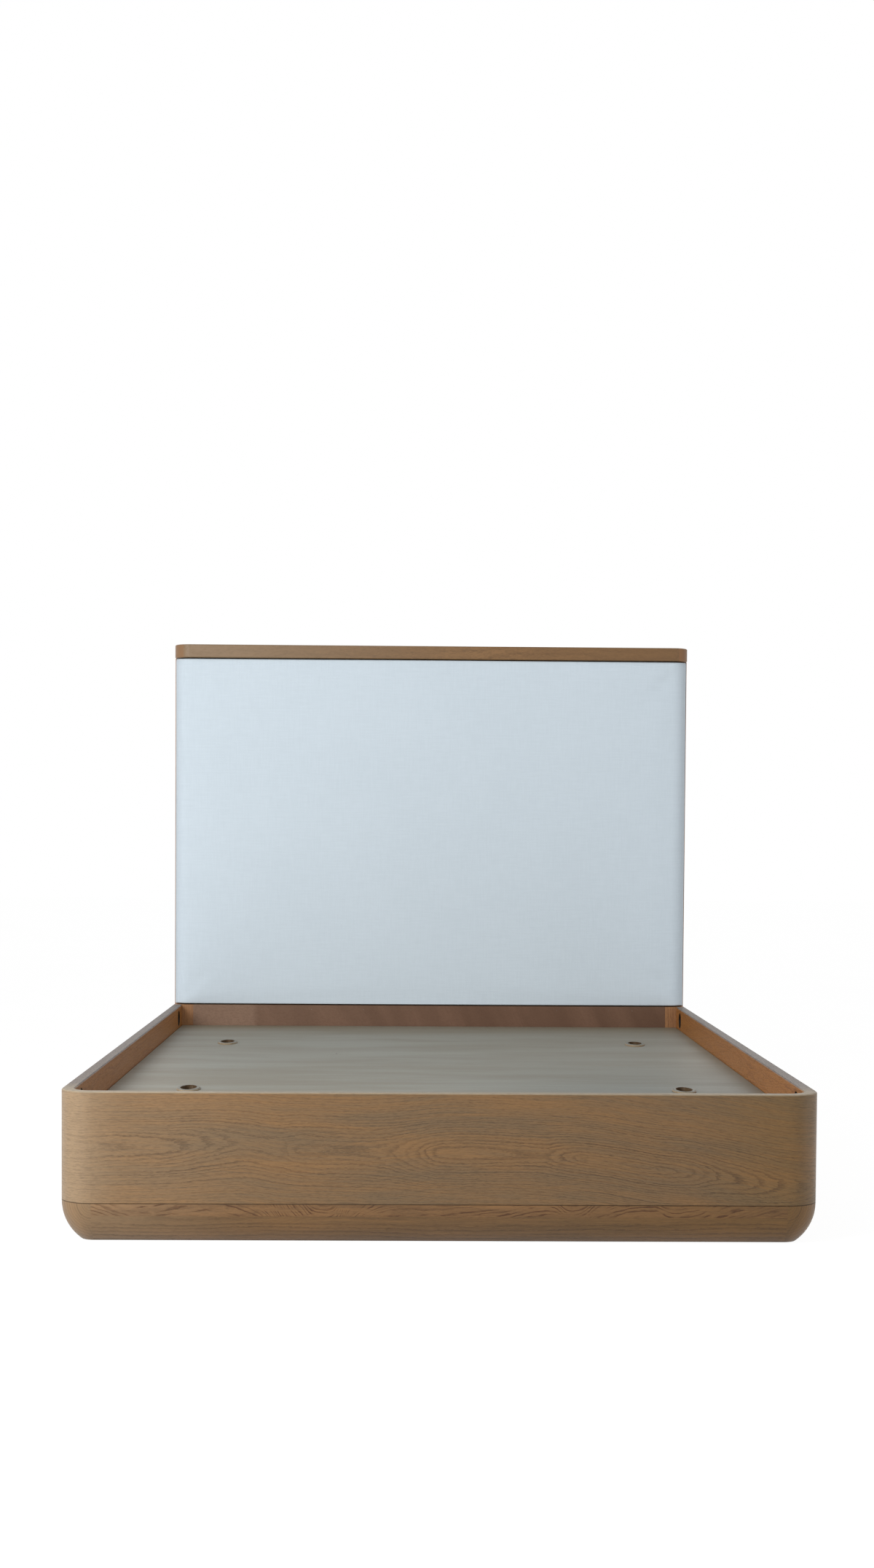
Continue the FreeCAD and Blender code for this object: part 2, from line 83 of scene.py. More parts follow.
# Bolt pockets and hand rings lie at two places along the bed, the same distance from a middle place
pocket_radius = 0.024
pocket_height = (washer_low.z + washer_high.z) / 2
pocket_middle = (washer_low.y + washer_high.y) / 2
pocket_reach = (washer_high.y - washer_low.y) / 2 - pocket_radius
ring_wall = 0.009
ring_x = (near_ring_low.x + near_ring_high.x) / 2
ring_hole_half_width = (near_ring_high.x - near_ring_low.x) / 2 - ring_wall
ring_hole_half_length = (near_ring_high.y - near_ring_low.y) / 2 - ring_wall
ring_middle = (near_ring_low.y + far_ring_high.y) / 2
ring_reach = (far_ring_low.y + far_ring_high.y) / 2 - ring_middle

# The footboard's veneer: how high the heart of the tree runs and how deep it lies under the face.
# Each pair is a share of the run from the left rail to the right one, and a share of the height or the depth.
heart_height_shares = (
    (0.0, 0.5), (0.14, 0.51), (0.24, 0.54), (0.31, 0.49), (0.45, 0.47), (0.6, 0.46),
    (0.68, 0.42), (0.77, 0.32), (0.82, 0.285), (0.88, 0.23), (0.93, 0.185), (1.0, 0.17))
heart_depth_shares = (
    (0.0, 0.5), (0.08, 0.51), (0.15, 0.56), (0.222, 0.68), (0.27, 0.74), (0.3, 0.72), (0.33, 0.66),
    (0.4, 0.7), (0.423, 0.68), (0.448, 0.61), (0.461, 0.54), (0.474, 0.47), (0.485, 0.4), (0.51, 0.3),
    (0.56, 0.28), (0.62, 0.3), (0.645, 0.22), (0.665, 0.12), (0.685, 0.04), (0.74, 0.02), (0.775, 0.09),
    (0.81, 0.21), (0.83, 0.34), (0.85, 0.43), (0.87, 0.48), (0.915, 0.6), (0.94, 0.66), (1.0, 0.8))

# The plinth's upper layer: where the heart of its board lies, as shares of the length and of the swing
plinth_heart_shares = (
    (0.0, 0.35), (0.08, 0.42), (0.16, 0.38), (0.22, 0.42), (0.3, 0.72), (0.335, 0.8), (0.37, 0.62),
    (0.43, 0.52), (0.5, 0.5), (0.58, 0.47), (0.66, 0.43), (0.69, 0.48), (0.73, 0.4), (0.8, 0.34),
    (0.84, 0.38), (0.92, 0.27), (1.0, 0.2))

# Where each change of the tub's oak starts and ends, along its run from the middle of the front
calm_front = (-0.84, -0.6)
calm_back = (-1.1, -0.95)
# The lit spans paint light round the left bend; the shaded span paints shade round the right one
lit_front = (-0.84, -0.66)
lit_back = (-1.4, -0.95)
sunlit = (-0.72, -0.3)
shaded = (0.5, 0.78)

# The same for the plinth, the cap and the head panel, from left to right
# Painted light on the left ends and painted shade on the right ends
plinth_sunlit = (-0.8, -0.35)
plinth_shaded = (0.1, 0.7)
cap_sunlit = (-0.75, 0.3)
cap_shaded = (0.1, 0.75)
# The head panel's lighter left end: a step at an uneven upright edge, then painted light that thins out
# towards the right
panel_left_edge = (-0.56, -0.53)
panel_lit_span = (-0.75, 0.2)

# Heights: the heart inside the tub over the deck, and where the plinth's upper layer starts
inner_heart_rise = 0.02
plinth_layer = (0.059, 0.0605)

# How far short of an edge a change starts and ends: the painted shade of the joint line, the tub's top with
# its painted highlight and painted shade, the cap's corners and the rings' painted reflection
joint_line = (0.0016, 0.0004)
joint_shade = 0.75
rubbed_and_lit_top = (0.003, 0.001)
stained_corner = (0.034, 0.028)
reflected_rim = (0.0022, 0.0008)

# Small fittings, as shares of the length that carries them
brad_shares = (-0.71, -0.5, -0.28, -0.08, 0.13, 0.32, 0.54, 0.76, 0.86)
side_screw_shares = (0.05, 0.23, 0.41, 0.59, 0.77, 0.95)
end_screw_shares = (0.08, 0.36, 0.64, 0.92)
back_screw_shares = (0.03, 0.22, 0.41, 0.59, 0.78, 0.97)


def setting(kind, **limits):
    """Makes settings of one kind, each with its own name, description and default."""
    def make(name, description, default):
        return kind(name=name, description=description, default=default, **limits)
    return make


colour = setting(FloatVectorProperty, subtype="COLOR", min=0.0, max=1.0)
spot = setting(FloatVectorProperty, subtype="TRANSLATION", unit="LENGTH")
length = setting(FloatProperty, unit="LENGTH", min=0.0, precision=4)
share = setting(FloatProperty, subtype="FACTOR", min=0.0, max=1.0)
power = setting(FloatProperty, unit="POWER", min=0.0)
number = setting(IntProperty, min=8)


class BedWood(bpy.types.PropertyGroup):
    """Colours and grain of the oak, the plywood and the hidden softwood"""
    oak_pale: colour("Pale oak", "Oak in its lighter, more orange clouds", (0.210, 0.112, 0.0425))
    oak_deep: colour("Deep oak", "Oak in its darker, more olive clouds", (0.148, 0.094, 0.047))
    oak_line: colour("Oak line", "Tint of the oak's growth lines", (0.47, 0.44, 0.42))
    oak_pore: colour("Oak pore", "Tint of the oak's open pores", (0.42, 0.42, 0.45))
    # Painted light: lighter oak at the left ends of the tub, the plinth and the cap, where the light falls
    # strongest
    oak_lit: colour("Faded oak", "Oak that has faded in the light", (0.265, 0.182, 0.105))
    oak_shade: colour("Oak shade", "Tint of the oak at the bed's right end", (0.96, 0.93, 0.76))
    # The footboard's top edge: paler from wear, with a painted highlight; the hand rings take it as their
    # deeper tone
    oak_edge: colour("Oak edge", "The footboard's rubbed top edge", (0.305, 0.240, 0.158))
    # Painted shade on the rails' top edges
    oak_top: colour("Oak top", "The rails' dulled top edges", (0.138, 0.104, 0.082))
    oak_inside: colour("Oak inside", "The rails' inner faces", (0.358, 0.143, 0.0325))
    oak_inside_line: colour("Oak inside line", "Tint of the inner faces' growth lines", (0.66, 0.56, 0.46))
    # Painted shade in the joint between the tub and the plinth; the deck's knot takes this colour too
    oak_joint: colour("Oak joint", "The dark line between the tub and the plinth", (0.055, 0.034, 0.019))
    # Painted shade inside the bolt pockets
    oak_pocket: colour("Oak pocket", "The stained inside of the bolt pockets", (0.012, 0.009, 0.007))
    plinth_pale: colour("Pale plinth", "Plinth in its lighter clouds", (0.200, 0.104, 0.0365))
    plinth_deep: colour("Deep plinth", "Plinth in its darker clouds", (0.132, 0.073, 0.0285))
    plinth_line: colour("Plinth line", "Tint of the plinth's steep growth lines", (0.46, 0.36, 0.28))
    plinth_swing: length("Plinth swing", "How far the upper layer's heart rises and falls", 0.40)
    cap_pale: colour("Pale cap", "Cap in its lighter clouds", (0.258, 0.138, 0.054))
    cap_deep: colour("Deep cap", "Cap in its darker clouds", (0.190, 0.102, 0.042))
    post_pale: colour("Pale post", "Head posts in their lighter clouds", (0.440, 0.225, 0.100))
    post_deep: colour("Deep post", "Head posts in their darker clouds", (0.310, 0.148, 0.064))
    # Painted reflection on the rings' grey upper rim
    ring_rim: colour("Ring rim", "Dulled upper rim of the hand rings", (0.205, 0.192, 0.150))
    ring_side: colour("Ring side", "Outer side of the hand rings", (0.380, 0.255, 0.140))
    # Painted shade on the rings' inner walls
    ring_inside: colour("Ring inside", "Inner wall of the hand rings", (0.105, 0.066, 0.034))
    panel_pale: colour("Pale panel", "Head panel's plywood, lighter ribbons", (0.182, 0.101, 0.064))
    panel_deep: colour("Deep panel", "Head panel's plywood, darker ribbons", (0.130, 0.070, 0.043))
    # The head panel's lighter left end, partly painted light
    panel_left_end: colour("Faded panel", "The head panel's left end, faded by light", (0.252, 0.158, 0.108))
    deck_pale: colour("Pale deck", "Deck plywood, lighter streaks", (0.236, 0.222, 0.174))
    deck_deep: colour("Deep deck", "Deck plywood, darker streaks", (0.202, 0.176, 0.125))
    # Painted shade on the deck by its right front corner
    deck_shaded_corner: colour("Worn deck", "Deck plywood by its right front corner", (0.140, 0.136, 0.106))
    softwood_pale: colour("Pale softwood", "Ledgers, beam and legs", (0.560, 0.420, 0.262))
    softwood_line: colour("Softwood line", "Tint of the softwood's growth lines", (0.75, 0.60, 0.44))
    beech: colour("Beech", "Dowels", (0.560, 0.400, 0.255))
    line_spacing: length("Line spacing", "Distance between the oak's growth lines", 0.0050)
    heart_depth: length("Heart depth", "Greatest depth of the heart under the footboard's face", 0.070)
    line_strength: share("Line strength", "How plainly the oak's growth lines show", 0.95)
    pore_strength: share("Pore strength", "How plainly the oak's pores show", 0.80)


class BedUpholstery(bpy.types.PropertyGroup):
    """The headboard's fabric and how it is stretched"""
    fabric: colour("Fabric", "Plain weave of the headboard", (0.675, 0.765, 0.838))
    fabric_shade: colour("Fabric shade", "Between the threads", (0.632, 0.720, 0.790))
    thread_pitch: length("Thread pitch", "Distance between threads", 0.0016)
    crown: length("Crown", "How far the middle of the pad stands proud of its edges", 0.002)
    deck_gap: length("Deck gap", "Room between the cover and the head half of the deck as it lifts", 0.0004)
    side_radius: length("Side radius", "Rounding of the pad's sides", 0.046)
    bottom_radius: length("Bottom radius", "Rounding of the turned-under edge", 0.003)
    top_radius: length("Top radius", "Rounding under the cap", 0.006)
    swell: length("Swell", "How far the stretched cover may rise over the foam", 0.003)
    half_columns: number("Columns", "Columns in each half of the front", 56)
    rows: number("Rows", "Rows up the front", 76)


class BedStage(bpy.types.PropertyGroup):
    """Light, floor and camera"""
    key_power: power("Key power", "Power of the key light", 92.0)
    key_size: length("Key size", "Side of the square key light", 1.6)
    key_place: spot("Key place", "Where the key light hangs", (-2.05, -2.75, 1.7))
    key_target: spot("Key target", "What the key light points at", (0.0, -0.2, 0.5))
    fill_power: power("Fill power", "Power of the fill light", 9.0)
    fill_size: length("Fill size", "Side of the square fill light", 1.5)
    fill_place: spot("Fill place", "Where the fill light hangs", (2.8, -1.4, 0.8))
    fill_target: spot("Fill target", "What the fill light points at", (0.0, -1.0, 0.3))
    ambient: share("Ambient", "Even light from all round", 0.54)
    camera_place: spot("Camera place", "Where the camera stands", (-0.0760, -5.280, 0.8827))
    camera_turn: FloatVectorProperty(name="Camera turn", description="Turn to the right, tilt down and roll",
                                     default=(0.01548, 0.03582, 0.00666), subtype="EULER", unit="ROTATION")
    camera_lens: FloatProperty(name="Camera lens", description="Focal length", default=45.465,
                               unit="CAMERA", min=1.0)
    camera_shift: FloatProperty(name="Camera shift", description="Upward shift of the frame", default=0.07474)


def bed_wood():
    return bpy.context.scene.bed_wood


class Field:
    """A value that varies over a surface. Arithmetic on it adds Math nodes."""

    def __init__(self, nodes, socket):
        self.nodes = nodes
        self.socket = socket

    def math(self, operation, *others):
        return self.nodes.value("Math", dict(enumerate((self, *others))), operation=operation)

    def __add__(self, other):
        return self.math("ADD", other)

    def __sub__(self, other):
        return self.math("SUBTRACT", other)

    def __mul__(self, other):
        return self.math("MULTIPLY", other)

    def __truediv__(self, other):
        return self.math("DIVIDE", other)

    def ease(self, low, high, start=0.0, end=1.0):
        """A smooth step from start to end while this value goes from low to high."""
        values = {"Value": self, "From Min": low, "From Max": high, "To Min": start, "To Max": end}
        return self.nodes.value("MapRange", values, interpolation_type="SMOOTHSTEP")

    def near(self, end, reach):
        """A smooth step from 0 to 1 short of an end. The reach holds how far short it starts and stops."""
        return self.ease(end - reach[0], end - reach[1])

    def mix(self, amount, other):
        """This colour with another over it."""
        return self.nodes.blend(amount, self, other)

    def stain(self, amount, other):
        """This colour darkened by another."""
        return self.nodes.blend(amount, self, other, kind="MULTIPLY")


def hypotenuse(first, second):
    return (first * first + second * second).math("SQRT")


class Nodes:
    """Writes one shader tree."""

    def __init__(self, tree):
        self.tree = tree

    def add(self, kind, values=None, **settings):
        node = self.tree.nodes.new("ShaderNode" + kind)
        for name, choice in settings.items():
            setattr(node, name, choice)
        for socket, value in (values or {}).items():
            self.feed(node.inputs[socket], value)
        return node

    def feed(self, socket, value):
        if isinstance(value, Field):
            self.tree.links.new(value.socket, socket)
        elif socket.type == "RGBA":
            socket.default_value = (*value, 1.0)
        else:
            socket.default_value = value

    def value(self, kind, values=None, output=0, **settings):
        """One output of a new node."""
        return Field(self, self.add(kind, values, **settings).outputs[output])

    def place(self):
        """A point's place in the bed at rest, as its three coordinates."""
        return self.parts(self.value("TexCoord", output="Object"))

    def facing(self):
        """The way that the surface faces, as three coordinates."""
        return self.parts(self.value("NewGeometry", output="Normal"))

    def parts(self, vector):
        node = self.add("SeparateXYZ", {"Vector": vector})
        return [Field(self, output) for output in node.outputs]

    def noise(self, x, y, z, detail=2.0):
        point = self.value("CombineXYZ", {"X": x, "Y": y, "Z": z})
        return self.value("TexNoise", {"Vector": point, "Scale": 1.0, "Detail": detail})

    def blend(self, amount, low, high, kind="MIX"):
        return self.value("Mix", {0: amount, 6: low, 7: high}, 2, data_type="RGBA", blend_type=kind)

    def curve(self, value, points):
        """A smooth line through points between 0 and 1."""
        node = self.add("FloatCurve", {"Value": value})
        line = node.mapping.curves[0]
        line.points[0].location = points[0]
        line.points[1].location = points[-1]
        for point in points[1:-1]:
            line.points.new(*point)
        for point in line.points:
            point.handle_type = "AUTO_CLAMPED"
        node.mapping.update()
        return Field(self, node.outputs[0])

    def group(self, name, values):
        """One of the shared effects, with its own values. Returns its outputs by name."""
        node = self.add("Group", node_tree=bpy.data.node_groups[name])
        for label, value in values.items():
            self.feed(node.inputs[label], value)
        return {output.name: Field(self, output) for output in node.outputs}

    def grain(self, run, across, depth, spacing, wander, seed):
        return self.group("wood_grain", {"Run": run, "Across": across, "Depth": depth, "Spacing": spacing,
                                         "Wander": wander, "Seed": seed})


class Effect:
    """A node group that several finishes share. It takes and gives plain values."""

    def __init__(self, name, inputs):
        self.tree = bpy.data.node_groups.new(name, "ShaderNodeTree")
        for label in inputs:
            self.tree.interface.new_socket(label, in_out="INPUT", socket_type="NodeSocketFloat")
        self.nodes = Nodes(self.tree)
        start = self.tree.nodes.new("NodeGroupInput")
        self.given = [Field(self.nodes, start.outputs[label]) for label in inputs]
        self.end = self.tree.nodes.new("NodeGroupOutput")

    def give(self, label, value):
        self.tree.interface.new_socket(label, in_out="OUTPUT", socket_type="NodeSocketFloat")
        self.nodes.feed(self.end.inputs[label], value)


def make_wood_grain():
    """Growth rings met by a surface: their lines, the pores in them and slow changes of tone.

    The factors inside each noise are waves per metre, along the grain and across it."""
    effect = Effect("wood_grain", ("Run", "Across", "Depth", "Spacing", "Wander", "Seed"))
    nodes = effect.nodes
    run, across, depth, spacing, wander, seed = effect.given
    sway = nodes.noise(run * 2.4, across * 10.0, seed) - 0.5
    ripple = nodes.noise(run * 22.0, across * 90.0, seed) - 0.5
    tooth = nodes.noise(run * 110.0, across * 380.0, seed, detail=1.0) - 0.5
    reach = hypotenuse(across, depth) + (sway * 2.0 + ripple * 0.45) * wander + tooth * 0.0030
    even_ring = reach / spacing
    ring = even_ring + (nodes.noise(even_ring * 0.3, 0.0, seed, detail=1.0) - 0.5) * 2.0
    step = ring.math("FRACT")
    vigour = nodes.value("TexWhiteNoise", {"W": ring.math("FLOOR") + seed}, noise_dimensions="1D")
    patch = nodes.noise(run * 5.0, ring * 0.4, seed + 3.0).ease(0.3, 0.7, 0.5, 1.0)
    near = reach.ease(0.03, 0.11, 1.0, 0.5)
    line = step.ease(0.0, 0.15) * step.ease(0.15, 0.6, 1.0, 0.0) * (vigour * 0.6 + 0.4) * patch * near
    fibre_place = across + depth * 0.5 + sway * wander
    dash = nodes.noise(run * 110.0, fibre_place * 1300.0, seed, detail=1.0)
    fleck = nodes.noise(run * 58.0, fibre_place * 580.0, seed + 5.0, detail=1.0).ease(0.48, 0.70)
    pore = (dash.ease(0.54, 0.68) * (line * 0.6 + 0.4)).math("MAXIMUM", fleck * 0.5)
    cloud = nodes.noise(run * 2.6, across * 16.0, seed + 7.0)
    fibre = nodes.noise(run * 9.0, fibre_place * 260.0, seed + 11.0)
    effect.give("Line", line)
    effect.give("Pore", pore)
    effect.give("Tone", (cloud * 0.6 + fibre * 0.4).ease(0.32, 0.68))
    effect.give("Height", fibre * 0.3 + 0.7 - pore * 0.5 - line * 0.2)


def make_ply_figure():
    """Rotary-cut plywood: broad ribbons, fine streaks and small flecks, in waves per metre."""
    effect = Effect("ply_figure", ("Run", "Across", "Ribbon Width", "Seed"))
    nodes = effect.nodes
    run, across, width, seed = effect.given
    sway = nodes.noise(run * 2.0, across * 5.0, seed + 2.0) - 0.5
    ribbon = nodes.noise(run * 1.5, (across + sway * width) / width, seed)
    streak = nodes.noise(run * 5.0, across * 150.0, seed + 5.0)
    fleck = nodes.noise(run * 70.0, across * 800.0, seed + 9.0, detail=1.0)
    effect.give("Ribbon", ribbon.ease(0.3, 0.7))
    effect.give("Streak", streak.ease(0.3, 0.7))
    effect.give("Fleck", fleck.ease(0.58, 0.72))


def new_material(name):
    """A material and its node writer."""
    material = bpy.data.materials.new(name)
    material.use_nodes = True
    return material, Nodes(material.node_tree)


def coat(material, base, height, relief, roughness, specular, metallic=0.0, sheen=0.0):
    """Gives a material its colour, its relief and its gloss."""
    nodes = base.nodes
    bump = nodes.value("Bump", {"Height": height, "Distance": relief, "Strength": 1.0})
    values = {"Base Color": base, "Normal": bump, "Roughness": roughness, "Specular IOR Level": specular,
              "Metallic": metallic, "Sheen Weight": sheen}
    for label, value in values.items():
        nodes.feed(material.node_tree.nodes["Principled BSDF"].inputs[label], value)
    return material


def wood_material(name, lie, pale, deep, line, pore, line_strength, pore_strength, spacing, wander=0.01,
                  seed=1.0, roughness=0.44, specular=0.35, relief=0.0003, calm=None, tint=None, change=None):
    """A wood whose grain follows the lie of one piece.

    A calm weakens the growth lines by place, a tint goes under them and a change goes over them."""
    material, nodes = new_material(name)
    place = nodes.place()
    grain = nodes.grain(*lie(place), spacing, wander, seed)
    wood = nodes.blend(grain["Tone"], deep, pale)
    if tint:
        wood = tint(place, wood)
    lines = grain["Line"] * line_strength
    if calm:
        lines = lines * calm(place)
    wood = wood.stain(lines, line).stain(grain["Pore"] * pore_strength, pore)
    if change:
        wood = change(place, wood)
    dullness = grain["Pore"] * 0.15 + grain["Tone"] * -0.05 + roughness
    return coat(material, wood, grain["Height"], relief, dullness, specular)


def straight_lie(axis, heart):
    """Grain along one axis, round a heart at a point of the cross section."""
    def lie(place):
        fields = dict(zip("xyz", place))
        run = fields.pop(axis)
        across, depth = (field - offset for field, offset in zip(fields.values(), heart))
        return run, across, depth
    return lie


def tub_corner(place):
    """How far a point of the tub lies past the middle of its bend, to the side and to the front."""
    beyond = (place[0].math("ABSOLUTE") - bend_x).math("MAXIMUM", 0.0)
    ahead = (place[1] * -1.0 + bend_y).math("MAXIMUM", 0.0)
    return beyond, ahead


def tub_back(place):
    """How far a point of the tub lies down its rail."""
    return (place[1] - bend_y).math("MAXIMUM", 0.0)


def tub_depth(place):
    """How far a point of the tub lies in from its outer face, round the bends too."""
    return hypotenuse(*tub_corner(place)) * -1.0 + bend_radius


def tub_run(place):
    """How far a point of the tub lies from the middle of its front, round the bends and down the rails."""
    x = place[0]
    beyond, ahead = tub_corner(place)
    never_zero = 1e-6
    turn = beyond.math("ARCTAN2", ahead + never_zero)
    front = x.math("ABSOLUTE").math("MINIMUM", bend_x)
    return (front + turn * bend_radius + tub_back(place)) * x.math("SIGN")


def tub_lie(place):
    """Veneer whose grain runs along the front, round both bends and down the rails."""
    run = tub_run(place)
    nodes = run.nodes
    along = run / (half_run * 2.0) + 0.5
    heart = nodes.curve(along, heart_height_shares) * tub_height + joint_height
    front_depth = nodes.curve(along, heart_depth_shares) * bed_wood().heart_depth
    rail_depth = nodes.noise(run * 1.1, 0.0, 4.0) * tub_back(place).ease(0.0, 0.4) * 0.05
    return run, place[2] - heart + tub_depth(place), front_depth + rail_depth


def tub_calm(place):
    """Growth lines are faint round the left bend."""
    run = tub_run(place)
    return run.ease(*calm_front, 0.4, 1.0).math("MAXIMUM", run.ease(*calm_back, 1.0, 0.0))


def tub_tint(place, oak):
    """Painted light round the left bend, painted shade round the right one, orange inside; on top a rubbed
    edge with a painted highlight along the footboard and painted shade along the rails.
    """
    wood = bed_wood()
    y, z = place[1:]
    run = tub_run(place)
    brightened = run.ease(*lit_front, 1.0, 0.0) * run.ease(*lit_back) + run.ease(*sunlit, 0.22, 0.0)
    oak = oak.mix(brightened, wood.oak_lit).stain(run.ease(*shaded), wood.oak_shade)
    inside = tub_depth(place).ease(board_thickness * 0.6, board_thickness * 0.9)
    across = z - deck_high.z - inner_heart_rise
    figure = oak.nodes.grain(run, across, depth=0.012, spacing=0.010, wander=0.03, seed=7.2)
    oak = oak.mix(inside, wood.oak_inside).stain(figure["Line"] * inside, wood.oak_inside_line)
    top = oak.nodes.blend(y.ease(bend_y - 0.05, bend_y + 0.1), wood.oak_edge, wood.oak_top)
    return oak.mix(z.near(foot_high.z, rubbed_and_lit_top), top)


def tub_change(place, oak):
    """Painted shade in the joint where the tub meets the plinth, and painted shade inside the bolt pockets in
    the rails.
    """
    wood = bed_wood()
    y, z = place[1:]
    far, close = joint_line
    joint = z.ease(joint_height + close, joint_height + far, 1.0, 0.0)
    oak = oak.mix(joint * joint_shade, wood.oak_joint)
    along = (y - pocket_middle).math("ABSOLUTE") - pocket_reach
    away = hypotenuse(along, z - pocket_height)
    pocket = away.ease(pocket_radius + 0.0001, pocket_radius + 0.0003, 1.0, 0.0)
    return oak.mix(pocket * tub_depth(place).ease(0.002, 0.004), wood.oak_pocket)


def plinth_lie(axis):
    """Straight grain that rises and falls a little."""
    def lie(place):
        run = place["xyz".index(axis)]
        z = place[2]
        heart_height = 0.07
        rise = 0.03
        least_depth = 0.03
        gentle = run.nodes.noise(run * 1.2, 9.0, 0.0, detail=1.0) - 0.5
        return run, z - heart_height + gentle * rise, z * 0.1 + least_depth
    return lie


def plinth_light(place, oak):
    """Painted light on the left end and painted shade on the right one."""
    x = place[0]
    oak = oak.stain(x.ease(*plinth_shaded), bed_wood().oak_shade)
    return oak.mix(x.ease(*plinth_sunlit, 0.5, 0.0), bed_wood().oak_lit)


def plinth_tint(axis):
    """Painted light on the left end, painted shade on the right one, and a redder upper layer whose growth
    lines slant steeply where its heart swings.
    """
    def tint(place, oak):
        wood = bed_wood()
        nodes = oak.nodes
        run = place["xyz".index(axis)]
        z = place[2]
        upper = z.ease(*plinth_layer)
        heart = nodes.curve(run / (bend_x * 2.0) + 0.5, plinth_heart_shares) * wood.plinth_swing
        figure = nodes.grain(run, z + heart, depth=0.004, spacing=0.0095, wander=0.03, seed=5.4)
        broken = nodes.noise(run * 16.0, z * 70.0, 8.0).ease(0.36, 0.6)
        oak = plinth_light(place, oak).mix(upper * 0.15, wood.post_deep)
        return oak.stain(figure["Line"] * upper * broken * 3.6, wood.plinth_line)
    return tint


def corner_lie(place):
    """Corner blocks show the ends of their grain as arcs round the corner."""
    x, y, z = place
    return y, x.math("ABSOLUTE") - bend_x, z * -1.0 + joint_height


def plinth_change(place, oak):
    """Painted shade in the joint under the tub, and painted shade that darkens the plinth towards the floor.
    """
    wood = bed_wood()
    z = place[2]
    oak = oak.mix(z.near(joint_height, joint_line) * joint_shade, wood.oak_joint)
    # Painted shade: the plinth darkens towards the floor
    low_shade_height = 0.02
    return oak.stain(z.ease(0.0, low_shade_height, 0.25, 0.0), wood.oak_line)


def cap_change(place, oak):
    """The cap's round corners took more of the stain, and its face has soft upright bands. Its left end
    carries painted light and its right end painted shade.
    """
    wood = bed_wood()
    x = place[0]
    band = oak.nodes.noise(x * 14.0, place[2] * 3.0, 1.0).ease(0.35, 0.65)
    oak = oak.mix(band * 0.3, wood.cap_deep).mix(x.ease(*cap_sunlit, 0.65, 0.0), wood.oak_lit)
    corner = x.math("ABSOLUTE").near(cap_high.x, stained_corner)
    return oak.mix(x.ease(*cap_shaded, 0.0, 0.6), wood.cap_deep).mix(corner * 0.45, wood.post_deep)


def ring_tint(place, oak):
    """A grey upper rim that is painted reflection, a clean outer side, and a dark inner wall that is painted
    shade.
    """
    wood = bed_wood()
    x, y, z = place
    oak = oak.mix(z.near(near_ring_high.z, reflected_rim), wood.ring_rim)
    beside = (x.math("ABSOLUTE") - ring_x) / ring_hole_half_width
    along = ((y - ring_middle).math("ABSOLUTE") - ring_reach) / ring_hole_half_length
    inner = hypotenuse(beside, along).ease(1.02, 1.05, 1.0, 0.0)
    return oak.mix(inner, wood.ring_inside)


def oak_material(name, lie, **grain):
    wood = bed_wood()
    values = {"pale": wood.oak_pale, "deep": wood.oak_deep, "line": wood.oak_line, "pore": wood.oak_pore,
              "line_strength": wood.line_strength, "pore_strength": wood.pore_strength,
              "spacing": wood.line_spacing}
    values.update(grain)
    return wood_material(name, lie, **values)


def plain_wood_material(name, axis, heart, pale, **grain):
    """A bare wood of one colour along one axis, with orange growth lines."""
    line = bed_wood().softwood_line
    return wood_material(name, straight_lie(axis, heart), pale=pale, deep=pale, line=line, pore=line, **grain)


def softwood_material(axis):
    """Planed softwood with wide growth lines."""
    return plain_wood_material("softwood_" + axis, axis, (0.31, 0.12), bed_wood().softwood_pale,
                               line_strength=0.8, pore_strength=0.15, spacing=0.0045, wander=0.012,
                               seed=6.0, roughness=0.6)


def layered_edge(place, ply, pale, deep):
    """The plies, seen on the edges of a level panel."""
    nodes = ply.nodes
    upright = nodes.facing()[2].math("ABSOLUTE").ease(0.3, 0.6, 1.0, 0.0)
    ply_thickness = 0.0028
    layer = (place[2] / ply_thickness).math("FRACT").ease(0.4, 0.6)
    return ply.mix(upright, nodes.blend(layer, deep, pale))


def deck_material():
    """Sealed plywood with streaks across the bed and a dulled satin face, with painted shade towards the
    right and by the right front corner.
    """
    wood = bed_wood()
    material, nodes = new_material("deck_plywood")
    place = nodes.place()
    x, y = place[:2]
    figure = nodes.group("ply_figure", {"Run": x, "Across": y, "Ribbon Width": 0.15, "Seed": 3.0})
    # Painted shade: the ribbons give way to the deeper tone towards the right, and the right front corner
    # darkens
    ply = nodes.blend(figure["Ribbon"] * x.ease(-0.2, 0.8, 1.0, 0.4), wood.deck_deep, wood.deck_pale)
    corner_shade = x.ease(-0.1, 0.6) * y.ease(-0.8, 0.3, 1.0, 0.0)
    ply = ply.mix(figure["Streak"] * 0.15, wood.deck_deep).mix(corner_shade, wood.deck_shaded_corner)
    knot_left = 0.268
    knot_back = 0.221
    knot = hypotenuse(x + knot_left, (y - knot_back) * 0.2).ease(0.0012, 0.0030, 1.0, 0.0)
    ply = ply.mix(figure["Fleck"] * 0.15, wood.panel_deep).mix(knot * 0.9, wood.oak_joint)
    ply = layered_edge(place, ply, wood.softwood_pale, wood.panel_pale)
    dullness = figure["Ribbon"] * -0.08 + figure["Streak"] * 0.06 + 0.46
    height = figure["Streak"] * 0.4 + figure["Fleck"] * -0.4
    return coat(material, ply, height, relief=0.0002, roughness=dullness, specular=0.5)


